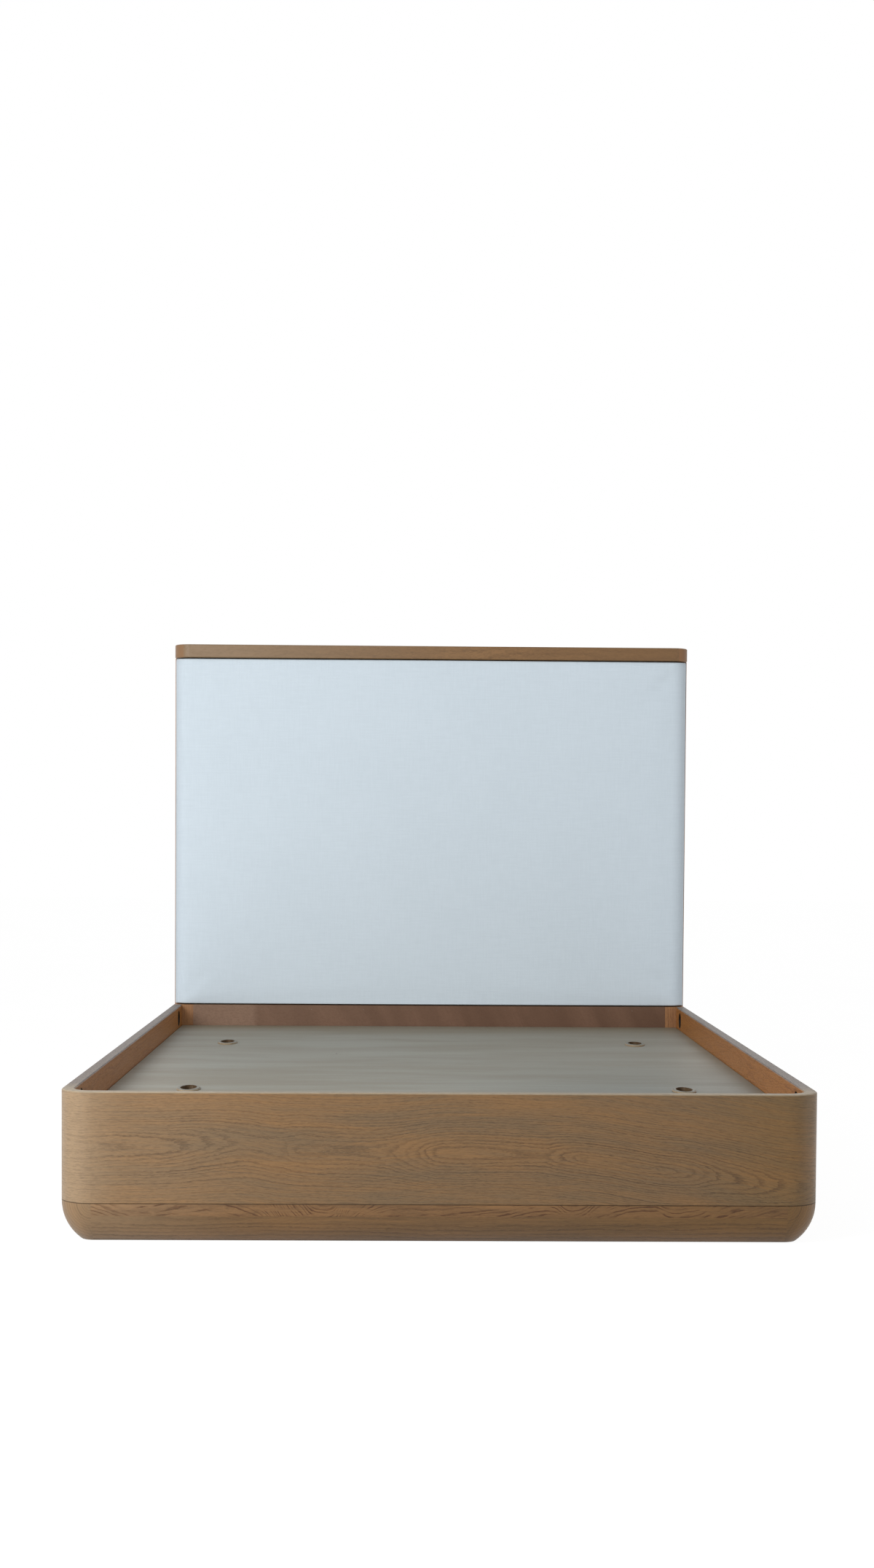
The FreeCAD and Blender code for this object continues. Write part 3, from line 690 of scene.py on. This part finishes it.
def panel_material(name, left_brightening):
    """Reddish plywood with slanting ribbons. Its left end may be lighter: a step at an uneven upright edge,
    and painted light that fades in from the left.
    """
    wood = bed_wood()
    material, nodes = new_material(name)
    x, y, z = nodes.place()
    slant = 0.45
    figure = nodes.group("ply_figure", {"Run": z + x * -slant, "Across": x + z * slant,
                                        "Ribbon Width": 0.11, "Seed": 8.0})
    ply = nodes.blend(figure["Ribbon"], wood.panel_deep, wood.panel_pale)
    edge = x + nodes.noise(x * 20.0, 0.0, z * 40.0) * 0.02
    brightened = edge.ease(*panel_left_edge, 0.6, 0.0) + edge.ease(*panel_lit_span, 0.4, 0.0)
    ply = ply.mix(figure["Streak"] * 0.2, wood.panel_deep).mix(brightened * left_brightening, wood.panel_left_end)
    mottle = nodes.noise(x * 130.0, y * 130.0, z * 260.0).ease(0.4, 0.7)
    ply = ply.mix(mottle * 0.25, wood.panel_deep).stain(figure["Fleck"] * 0.3, wood.oak_pore)
    height = figure["Streak"] * 0.4 + figure["Fleck"] * -0.5
    return coat(material, ply, height, relief=0.0002, roughness=0.62, specular=0.2)


def fabric_material():
    """Plain weave: threads over and under each other, with thicker slubs both ways."""
    cover = bpy.context.scene.bed_upholstery
    material, nodes = new_material("cover_fabric")
    x, y, z = nodes.place()
    round_side = (y - pad_low.y) * x.math("SIGN")
    wobble = (nodes.noise(x * 30.0, z * 30.0, y) - 0.5) * 0.8
    across = (x + round_side) / cover.thread_pitch + wobble
    up = z / cover.thread_pitch + wobble
    warp = (across * math.pi).math("SINE")
    weft = (up * math.pi).math("SINE")
    over = (across * math.pi).math("COSINE") * (up * math.pi).math("COSINE")
    thread = (warp * warp) * (over * 0.25 + 0.5) + (weft * weft) * (over * -0.25 + 0.5)
    upright_slub = nodes.noise(x * 210.0, z * 16.0, y * 16.0)
    level_slub = nodes.noise(x * 16.0, z * 210.0, y * 16.0)
    slub = (upright_slub * 0.5 + level_slub * 0.5).ease(0.3, 0.7)
    cloud = nodes.noise(x * 3.0, z * 3.0, y).ease(0.3, 0.7)
    lit = (thread * 0.45 + slub * 0.4 + cloud * 0.15).ease(0.1, 0.9)
    weave = nodes.blend(lit, cover.fabric_shade, cover.fabric)
    height = thread * 0.6 + slub * 0.4
    return coat(material, weave, height, relief=0.0004, roughness=0.9, specular=0.15, sheen=0.15)


def steel_material(name, dark, light):
    """Plated steel with a cloudy bloom."""
    material, nodes = new_material(name)
    x, y, z = nodes.place()
    bloom = nodes.noise(x * 240.0, y * 240.0, z * 240.0).ease(0.35, 0.65)
    steel = nodes.blend(bloom, dark, light)
    dullness = bloom * 0.15 + 0.28
    return coat(material, steel, bloom, relief=0.00005, roughness=dullness, specular=0.5, metallic=1.0)


def glide_material():
    """Black moulded plastic with a fine grain, scuffed underneath."""
    material, nodes = new_material("glide_plastic")
    x, y, z = nodes.place()
    grain = nodes.noise(x * 900.0, y * 900.0, z * 900.0)
    scuff_height = 0.0015
    scuff = z.ease(0.0, scuff_height, 0.6, 0.0)
    black = nodes.blend(scuff, (0.03, 0.03, 0.032), (0.10, 0.10, 0.10))
    return coat(material, black, grain, relief=0.0001, roughness=grain * 0.2 + 0.4, specular=0.4)


def dress(material, *names):
    for name in names:
        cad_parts[name].material_slots[0].material = material


def add_object(name, data):
    thing = bpy.data.objects.new(name, data)
    bpy.context.scene.collection.objects.link(thing)
    return thing


def add_mesh(name, shape, material):
    """An object from a bmesh, with one material."""
    mesh = bpy.data.meshes.new(name)
    shape.to_mesh(mesh)
    shape.free()
    mesh.materials.append(material)
    return add_object(name, mesh)


def new_piece(name, shape, material):
    """A piece of the bed's frame from a bmesh, in its place."""
    bmesh.ops.recalc_face_normals(shape, faces=shape.faces)
    piece = add_mesh(name, shape, material)
    return piece


def wall(shape, lower, upper):
    """Faces between two closed rows of points."""
    for corner in range(len(lower)):
        shape.faces.new((lower[corner - 1], lower[corner], upper[corner], upper[corner - 1]))


def rim(shape, points):
    """The edges round a closed row of points."""
    pairs = [(points[corner - 1], points[corner]) for corner in range(len(points))]
    return [shape.edges.get(pair) or shape.edges.new(pair) for pair in pairs]


def pad_plan(inset, cover):
    """The pad's plan at a distance in from its outside, from the left back edge round the front to the right.

    The front starts as far back as the cover then swells."""
    half = pad_high.x - inset
    edge_y = deck_high.y + cover.deck_gap + cover.swell + cover.crown + inset
    radius = cover.side_radius - inset
    flat = half - radius
    right = []
    for column in range(cover.half_columns + 1):
        x = flat * column / cover.half_columns
        right.append((x, edge_y - cover.crown * (1.0 - (x / flat) ** 2)))
    turns = 8
    for turn in range(1, turns + 1):
        angle = math.pi / 2 * turn / turns
        right.append((flat + radius * math.sin(angle), edge_y + radius * (1.0 - math.cos(angle))))
    right.append((half, pad_high.y))
    return [(-x, y) for x, y in reversed(right[1:])] + right


def pad_levels(cover):
    """Height and inset of each row, from the turned-under bottom edge to the top edge."""
    bottom_turns = 6
    top_turns = 3
    levels = []
    for turn in range(bottom_turns):
        angle = math.pi / 2 * turn / bottom_turns
        levels.append((pad_low.z + cover.bottom_radius * (1.0 - math.cos(angle)),
                       cover.bottom_radius * (1.0 - math.sin(angle))))
    first = pad_low.z + cover.bottom_radius
    last = pad_high.z - cover.top_radius
    for row in range(cover.rows + 1):
        levels.append((first + (last - first) * row / cover.rows, 0.0))
    for turn in range(1, top_turns + 1):
        angle = math.pi / 2 * turn / top_turns
        levels.append((last + cover.top_radius * math.sin(angle), cover.top_radius * (1.0 - math.cos(angle))))
    return levels


def back_line(plan):
    """The plan drawn flat against the back, with its columns spread evenly."""
    left = plan[0][0]
    return [(left - 2.0 * left * column / (len(plan) - 1), pad_high.y) for column in range(len(plan))]


def pad_shape(cover):
    """A closed pad: crowned front, round sides, flat top and bottom, and a recess behind for its board."""
    plans = [(z, pad_plan(inset, cover)) for z, inset in pad_levels(cover)]
    plans.insert(0, (plans[0][0], back_line(plans[0][1])))
    plans.append((plans[-1][0], back_line(plans[-1][1])))
    shape = bmesh.new()
    grid = [[shape.verts.new((x, y, z)) for x, y in plan] for z, plan in plans]
    for lower, upper in zip(grid, grid[1:]):
        for column in range(len(lower) - 1):
            shape.faces.new((lower[column], lower[column + 1], upper[column + 1], upper[column]))
    bmesh.ops.remove_doubles(shape, verts=shape.verts, dist=1e-6)
    add_board_recess(shape)
    return shape


def add_board_recess(shape):
    """Closes the pad's back round a recess that clears the board."""
    gap = 0.0003
    crease = shape.edges.layers.float.new("crease_edge")
    border = [edge for edge in shape.edges if edge.is_boundary]
    side = board_high.x + gap
    bottom = board_low.z - gap
    top = board_high.z + gap
    corners = [(-side, bottom), (side, bottom), (side, top), (-side, top)]
    mouth = [shape.verts.new((x, pad_high.y, z)) for x, z in corners]
    floor = [shape.verts.new((x, board_low.y - gap, z)) for x, z in corners]
    bmesh.ops.triangle_fill(shape, edges=border + rim(shape, mouth), use_beauty=True)
    wall(shape, mouth, floor)
    shape.faces.new(floor)
    for edge in border + [edge for vert in mouth + floor for edge in vert.link_edges]:
        edge[crease] = 1.0


def stretch_cover(pad, swell):
    """Lets the cover swell over the foam, held along its back edges."""
    scene = bpy.context.scene
    held_depth = 0.013
    last_moment = 20
    held = [vert.index for vert in pad.data.vertices if vert.co.y > pad_high.y - held_depth]
    pad.vertex_groups.new(name="held").add(held, 1.0, "ADD")
    cloth = pad.modifiers.new("stretch", "CLOTH")
    cloth.settings.vertex_group_mass = "held"
    cloth.settings.use_pressure = True
    cloth.settings.uniform_pressure_force = 4.0
    cloth.settings.effector_weights.gravity = 0.0
    cloth.collision_settings.use_collision = False
    cloth.point_cache.frame_start = 1
    cloth.point_cache.frame_end = last_moment
    for moment in range(1, last_moment + 1):
        scene.frame_set(moment)
    settled = pad.evaluated_get(bpy.context.evaluated_depsgraph_get()).data
    moves = [after.co - before.co for before, after in zip(pad.data.vertices, settled.vertices)]
    pad.modifiers.remove(cloth)
    pad.vertex_groups.clear()
    for vert, move in zip(pad.data.vertices, moves):
        reach = move.length
        if reach > 0.0:
            vert.co += move * (swell * math.tanh(reach / swell) / reach)
        vert.co.z = min(max(vert.co.z, pad_low.z), pad_high.z)
    scene.frame_set(1)


def turned_form(shape, sides, levels):
    """A form closed at its foot, with a radius and a height for each level. Returns its top ring."""
    rings = [[shape.verts.new((radius * math.cos(math.tau * side / sides),
                               radius * math.sin(math.tau * side / sides), height))
              for side in range(sides)] for radius, height in levels]
    for lower, upper in zip(rings, rings[1:]):
        wall(shape, lower, upper)
    shape.faces.new(rings[0])
    return rings[-1]


def screw_head(radius, height):
    """A round head with a cross recess, facing +Z from the plane that it sits on."""
    shape = bmesh.new()
    slot_half = radius * 0.16
    slot_reach = radius * 0.62
    slot_floor = height * 0.3
    levels = ((radius, 0.0), (radius, height * 0.4), (radius * 0.8, height))
    top = turned_form(shape, sides=24, levels=levels)
    arm = [(slot_half, slot_half), (slot_half, slot_reach), (-slot_half, slot_reach)]
    outline = []
    for quarter in range(4):
        turn = Matrix.Rotation(math.pi / 2 * quarter, 2)
        outline += [turn @ Vector(point) for point in arm]
    mouth = [shape.verts.new((x, y, height)) for x, y in outline]
    floor = [shape.verts.new((x, y, slot_floor)) for x, y in outline]
    bmesh.ops.triangle_fill(shape, edges=rim(shape, mouth) + rim(shape, top), use_beauty=True)
    wall(shape, mouth, floor)
    shape.faces.new(floor)
    return shape


def brad_head(radius, height):
    """A small domed nail head facing +Z."""
    shape = bmesh.new()
    levels = [(radius * width, height * rise) for width, rise in ((1.0, 0.0), (0.92, 0.55), (0.6, 0.9))]
    ring = turned_form(shape, sides=12, levels=levels)
    top = shape.verts.new((0.0, 0.0, height))
    for side in range(len(ring)):
        shape.faces.new((ring[side - 1], ring[side], top))
    return shape


def repeat_fitting(name, head, places, material):
    """Copies of one head at places, each given with the way that it faces."""
    template = bpy.data.meshes.new(name + "_head")
    head.to_mesh(template)
    head.free()
    shape = bmesh.new()
    spin_step = 1.1
    for count, (place, facing) in enumerate(places):
        before = len(shape.verts)
        shape.from_mesh(template)
        shape.verts.ensure_lookup_table()
        spin = Matrix.Rotation(count * spin_step, 4, "Z")
        turn = Vector(facing).to_track_quat("Z", "Y").to_matrix().to_4x4()
        bmesh.ops.transform(shape, matrix=Matrix.Translation(place) @ turn @ spin, verts=shape.verts[before:])
    bpy.data.meshes.remove(template)
    piece = new_piece(name, shape, material)
    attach(piece, "bed_frame")


def between(low, high, amount):
    return low + (high - low) * amount


class BED_OT_oak_tub(bpy.types.Operator):
    """Veneers the footboard and the side rails with one run of oak"""
    bl_idname = "bed.oak_tub"
    bl_label = "Oak Tub"

    def execute(self, context):
        dress(oak_material("oak_veneer", tub_lie, calm=tub_calm, tint=tub_tint, change=tub_change, seed=1.3,
                           wander=0.009),
              "footboard_panel", "left_side_rail", "right_side_rail")
        return {"FINISHED"}


class BED_OT_plinth(bpy.types.Operator):
    """Finishes the plinth's lengths and corner blocks in layered oak"""
    bl_idname = "bed.plinth"
    bl_label = "Plinth"

    def execute(self, context):
        wood = context.scene.bed_wood
        layers = {"pale": wood.plinth_pale, "deep": wood.plinth_deep, "change": plinth_change}
        for axis, names in (("x", ("plinth_front", "plinth_back")), ("y", ("plinth_left", "plinth_right"))):
            dress(oak_material("oak_plinth_" + axis, plinth_lie(axis), seed=2.7, spacing=0.0075,
                               pore_strength=0.6, tint=plinth_tint(axis), **layers), *names)
        dress(oak_material("oak_plinth_corner", corner_lie, seed=4.1, spacing=0.006, wander=0.006,
                           line_strength=0.6, pore_strength=0.5, tint=plinth_light, **layers),
              "plinth_corners")
        return {"FINISHED"}


class BED_OT_headboard_frame(bpy.types.Operator):
    """Finishes the cap, the posts, the cross rails and the plywood panels of the headboard"""
    bl_idname = "bed.headboard_frame"
    bl_label = "Headboard Frame"

    def execute(self, context):
        wood = context.scene.bed_wood
        dress(oak_material("oak_cap", straight_lie("x", heart=(1.2, 1.4)), change=cap_change, seed=3.3,
                           line_strength=0.8, pale=wood.cap_pale, deep=wood.cap_deep), "headboard_cap")
        dress(oak_material("oak_post", straight_lie("z", heart=(0.55, 1.25)), seed=5.2, pale=wood.post_pale,
                           deep=wood.post_deep), "left_head_post", "right_head_post")
        dress(panel_material("head_plywood", 1.0), "head_panel")
        dress(panel_material("back_plywood", 0.0), "headboard_back_panel")
        dress(softwood_material("x"), "head_lower_rail", "headboard_base_rail", "headboard_mid_rail",
              "headboard_top_rail", "headboard_board", "foot_ledger", "head_ledger", "cross_bearer")
        return {"FINISHED"}


class BED_OT_deck(bpy.types.Operator):
    """Finishes the deck's plywood halves and the oak rings that line their hand holes"""
    bl_idname = "bed.deck"
    bl_label = "Deck"

    def execute(self, context):
        wood = context.scene.bed_wood
        dress(deck_material(), "deck_panel_foot", "deck_panel_head")
        dress(oak_material("oak_ring", straight_lie("y", heart=(0.2, 0.1)), seed=7.7, pale=wood.ring_side,
                           deep=wood.oak_edge, tint=ring_tint),
              *("grip_ring_%s_%s" % (end, side) for end in ("foot", "head") for side in ("left", "right")))
        return {"FINISHED"}


class BED_OT_under_frame(bpy.types.Operator):
    """Finishes the ledgers, beam, legs, dowels, bolts and glides under the deck"""
    bl_idname = "bed.under_frame"
    bl_label = "Under Frame"

    def execute(self, context):
        dress(softwood_material("y"), "left_ledger", "right_ledger", "centre_beam")
        dress(softwood_material("z"), "centre_leg_foot", "centre_leg_mid", "centre_leg_head")
        beech = plain_wood_material("beech_dowel", "z", (0.05, 0.02), context.scene.bed_wood.beech,
                                    line_strength=0.3, pore_strength=0.4, spacing=0.003, seed=9.0)
        dress(beech, "plinth_dowels", "locating_dowels", "rail_dowels", "cap_dowels", "leg_dowels")
        dress(steel_material("zinc_steel", (0.52, 0.52, 0.50), (0.68, 0.68, 0.66)), "threaded_inserts")
        dress(steel_material("black_steel", (0.02, 0.02, 0.02), (0.045, 0.045, 0.05)),
              "bed_bolts", "crescent_washers")
        dress(glide_material(), "leg_glides")
        return {"FINISHED"}


class BED_OT_upholstery(bpy.types.Operator):
    """Stretches the fabric cover over the headboard's foam"""
    bl_idname = "bed.upholstery"
    bl_label = "Upholstery"

    def execute(self, context):
        cover = context.scene.bed_upholstery
        pad = new_piece("headboard_pad", pad_shape(cover), fabric_material())
        stretch_cover(pad, cover.swell)
        for face in pad.data.polygons:
            face.use_smooth = True
        smooth = pad.modifiers.new("smooth", "SUBSURF")
        smooth.levels = 1
        smooth.render_levels = 1
        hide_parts("headboard_cover", "headboard_foam")
        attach(pad, "bed_frame")
        return {"FINISHED"}


class BED_OT_fittings(bpy.types.Operator):
    """Adds the brads of the head panel and the screws of the ledgers and the back panel"""
    bl_idname = "bed.fittings"
    bl_label = "Small Fittings"

    def execute(self, context):
        zinc = bpy.data.materials["zinc_steel"]
        brad_drop = 0.013
        dull = steel_material("brad_steel", (0.16, 0.13, 0.11), (0.30, 0.26, 0.23))
        brads = [((panel_high.x * amount, panel_low.y, panel_high.z - brad_drop), (0.0, -1.0, 0.0))
                 for amount in brad_shares]
        repeat_fitting("panel_brads", brad_head(radius=0.0009, height=0.0003), brads, dull)
        screws = []
        screw_rise = 0.4
        height = between(side_ledger_low.z, side_ledger_high.z, screw_rise)
        for amount in side_screw_shares:
            y = between(side_ledger_low.y, side_ledger_high.y, amount)
            for side in (1.0, -1.0):
                screws.append(((side_ledger_low.x * side, y, height), (-side, 0.0, 0.0)))
        for amount in end_screw_shares:
            foot_x = between(foot_ledger_low.x, foot_ledger_high.x, amount)
            head_x = between(head_ledger_low.x, head_ledger_high.x, amount)
            screws.append(((foot_x, foot_ledger_high.y, height), (0.0, 1.0, 0.0)))
            screws.append(((head_x, head_ledger_low.y, height), (0.0, -1.0, 0.0)))
        repeat_fitting("ledger_screws", screw_head(radius=0.0048, height=0.0018), screws, zinc)
        heights = [sum(corner.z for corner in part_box(rail)) / 2
                   for rail in ("headboard_base_rail", "headboard_mid_rail", "headboard_top_rail")]
        sunk = 0.0004
        back = [((between(back_low.x, back_high.x, amount), back_high.y - sunk, z), (0.0, 1.0, 0.0))
                for z in heights for amount in back_screw_shares]
        repeat_fitting("back_panel_screws", screw_head(radius=0.0036, height=0.0005), back, zinc)
        return {"FINISHED"}


def light_rays(nodes):
    """1 for the rays that see the background: those of the camera, of reflections and of glass."""
    camera, glossy, through = (nodes.value("LightPath", output="Is %s Ray" % kind)
                               for kind in ("Camera", "Glossy", "Transmission"))
    return camera.math("MAXIMUM", glossy).math("MAXIMUM", through)


def light_world(stage):
    """Even white light, with a plain white background behind the bed."""
    world = bpy.data.worlds.new("studio")
    bpy.context.scene.world = world
    world.use_nodes = True
    nodes = Nodes(world.node_tree)
    background = world.node_tree.nodes["Background"]
    nodes.feed(background.inputs["Color"], (1.0, 1.0, 1.0))
    nodes.feed(background.inputs["Strength"], light_rays(nodes) * (1.0 - stage.ambient) + stage.ambient)


def floor_material():
    """A white floor that keeps a faint shadow, and is plain paint under the bed."""
    material, nodes = new_material("studio_floor")
    tree = material.node_tree
    tree.nodes.remove(tree.nodes["Principled BSDF"])
    x, y = nodes.place()[:2]
    mottle = nodes.noise(x * 2.0, y * 2.0, 0.0).ease(0.0, 1.0)
    dark_paint = nodes.blend(mottle, (0.08, 0.08, 0.08), (0.09, 0.09, 0.09))
    seen_paint = nodes.value("BsdfDiffuse", {"Color": dark_paint})
    glow = nodes.value("Emission", {"Color": (1.0, 1.0, 1.0), "Strength": 0.95})
    seen_floor = nodes.value("AddShader", {0: seen_paint, 1: glow})
    paint = nodes.value("BsdfDiffuse", {"Color": (0.8, 0.8, 0.8)})
    rim_width = (0.001, 0.003)
    beside = (x.math("ABSOLUTE") - plinth_side_low.x).ease(*rim_width)
    ahead = (y * -1.0 + plinth_front_high.y).ease(*rim_width)
    behind = (y - plinth_back_low.y).ease(*rim_width)
    open_floor = beside.math("MAXIMUM", ahead).math("MAXIMUM", behind)
    chosen = nodes.value("MixShader", {0: light_rays(nodes) * open_floor, 1: paint, 2: seen_floor})
    nodes.feed(tree.nodes["Material Output"].inputs["Surface"], chosen)
    return material


def lay_floor():
    half = 20.0
    floor_z = -0.0005
    shape = bmesh.new()
    corners = ((-half, -half), (half, -half), (half, half), (-half, half))
    shape.faces.new([shape.verts.new((x, y, floor_z)) for x, y in corners])
    floor = add_mesh("floor", shape, floor_material())


def hang_light(name, energy, size, place, target):
    lamp = bpy.data.lights.new(name, "AREA")
    lamp.energy = energy
    lamp.shape = "SQUARE"
    lamp.size = size
    light = add_object(name, lamp)
    light.location = place
    light.rotation_euler = (Vector(target) - Vector(place)).to_track_quat("-Z", "Y").to_euler()


def stand_camera(stage):
    """The camera at the photograph's viewpoint."""
    data = bpy.data.cameras.new("camera")
    data.sensor_width = 36.0
    data.lens = stage.camera_lens
    data.shift_y = stage.camera_shift
    camera = add_object("camera", data)
    yaw, pitch, roll = stage.camera_turn
    stand = Matrix.Translation(stage.camera_place)
    for angle, axis in ((-yaw, "Z"), (math.pi / 2 - pitch, "X"), (roll, "Z")):
        stand = stand @ Matrix.Rotation(angle, 4, axis)
    camera.matrix_world = stand
    bpy.context.scene.camera = camera


class BED_OT_stage(bpy.types.Operator):
    """Lays the floor, hangs the lights and stands the camera"""
    bl_idname = "bed.stage"
    bl_label = "Studio Stage"

    def execute(self, context):
        stage = context.scene.bed_stage
        context.scene.view_settings.view_transform = "Standard"
        light_world(stage)
        lay_floor()
        hang_light("key", stage.key_power, stage.key_size, stage.key_place, stage.key_target)
        hang_light("fill", stage.fill_power, stage.fill_size, stage.fill_place, stage.fill_target)
        stand_camera(stage)
        return {"FINISHED"}


class BED_OT_effects(bpy.types.Operator):
    """Makes the grain and figure that the finishes share"""
    bl_idname = "bed.effects"
    bl_label = "Shared Effects"

    def execute(self, context):
        make_wood_grain()
        make_ply_figure()
        return {"FINISHED"}


property_groups = {"bed_wood": BedWood, "bed_upholstery": BedUpholstery, "bed_stage": BedStage}
operators = (BED_OT_effects, BED_OT_oak_tub, BED_OT_plinth, BED_OT_headboard_frame, BED_OT_deck,
             BED_OT_under_frame, BED_OT_upholstery, BED_OT_fittings, BED_OT_stage)


class BED_PT_sidebar(bpy.types.Panel):
    """Steps and settings of the bed"""
    bl_label = "Panel Bed"
    bl_idname = "BED_PT_sidebar"
    bl_space_type = "VIEW_3D"
    bl_region_type = "UI"
    bl_category = "Panel Bed"

    def draw(self, context):
        for operator in operators:
            self.layout.operator(operator.bl_idname)
        for attribute, group in property_groups.items():
            settings = self.layout.box()
            for name in group.__annotations__:
                settings.prop(getattr(context.scene, attribute), name)


def register():
    for group in property_groups.values():
        bpy.utils.register_class(group)
    for attribute, group in property_groups.items():
        setattr(bpy.types.Scene, attribute, PointerProperty(type=group))
    for operator in operators:
        bpy.utils.register_class(operator)
    bpy.utils.register_class(BED_PT_sidebar)


def unregister():
    bpy.utils.unregister_class(BED_PT_sidebar)
    for operator in reversed(operators):
        bpy.utils.unregister_class(operator)
    for attribute, group in property_groups.items():
        delattr(bpy.types.Scene, attribute)
        bpy.utils.unregister_class(group)


def main():
    register()
    bpy.ops.bed.effects()
    bpy.ops.bed.oak_tub()
    bpy.ops.bed.plinth()
    bpy.ops.bed.headboard_frame()
    bpy.ops.bed.deck()
    bpy.ops.bed.under_frame()
    bpy.ops.bed.upholstery()
    bpy.ops.bed.fittings()
    bpy.ops.bed.stage()


if __name__ == "__main__":
    main()
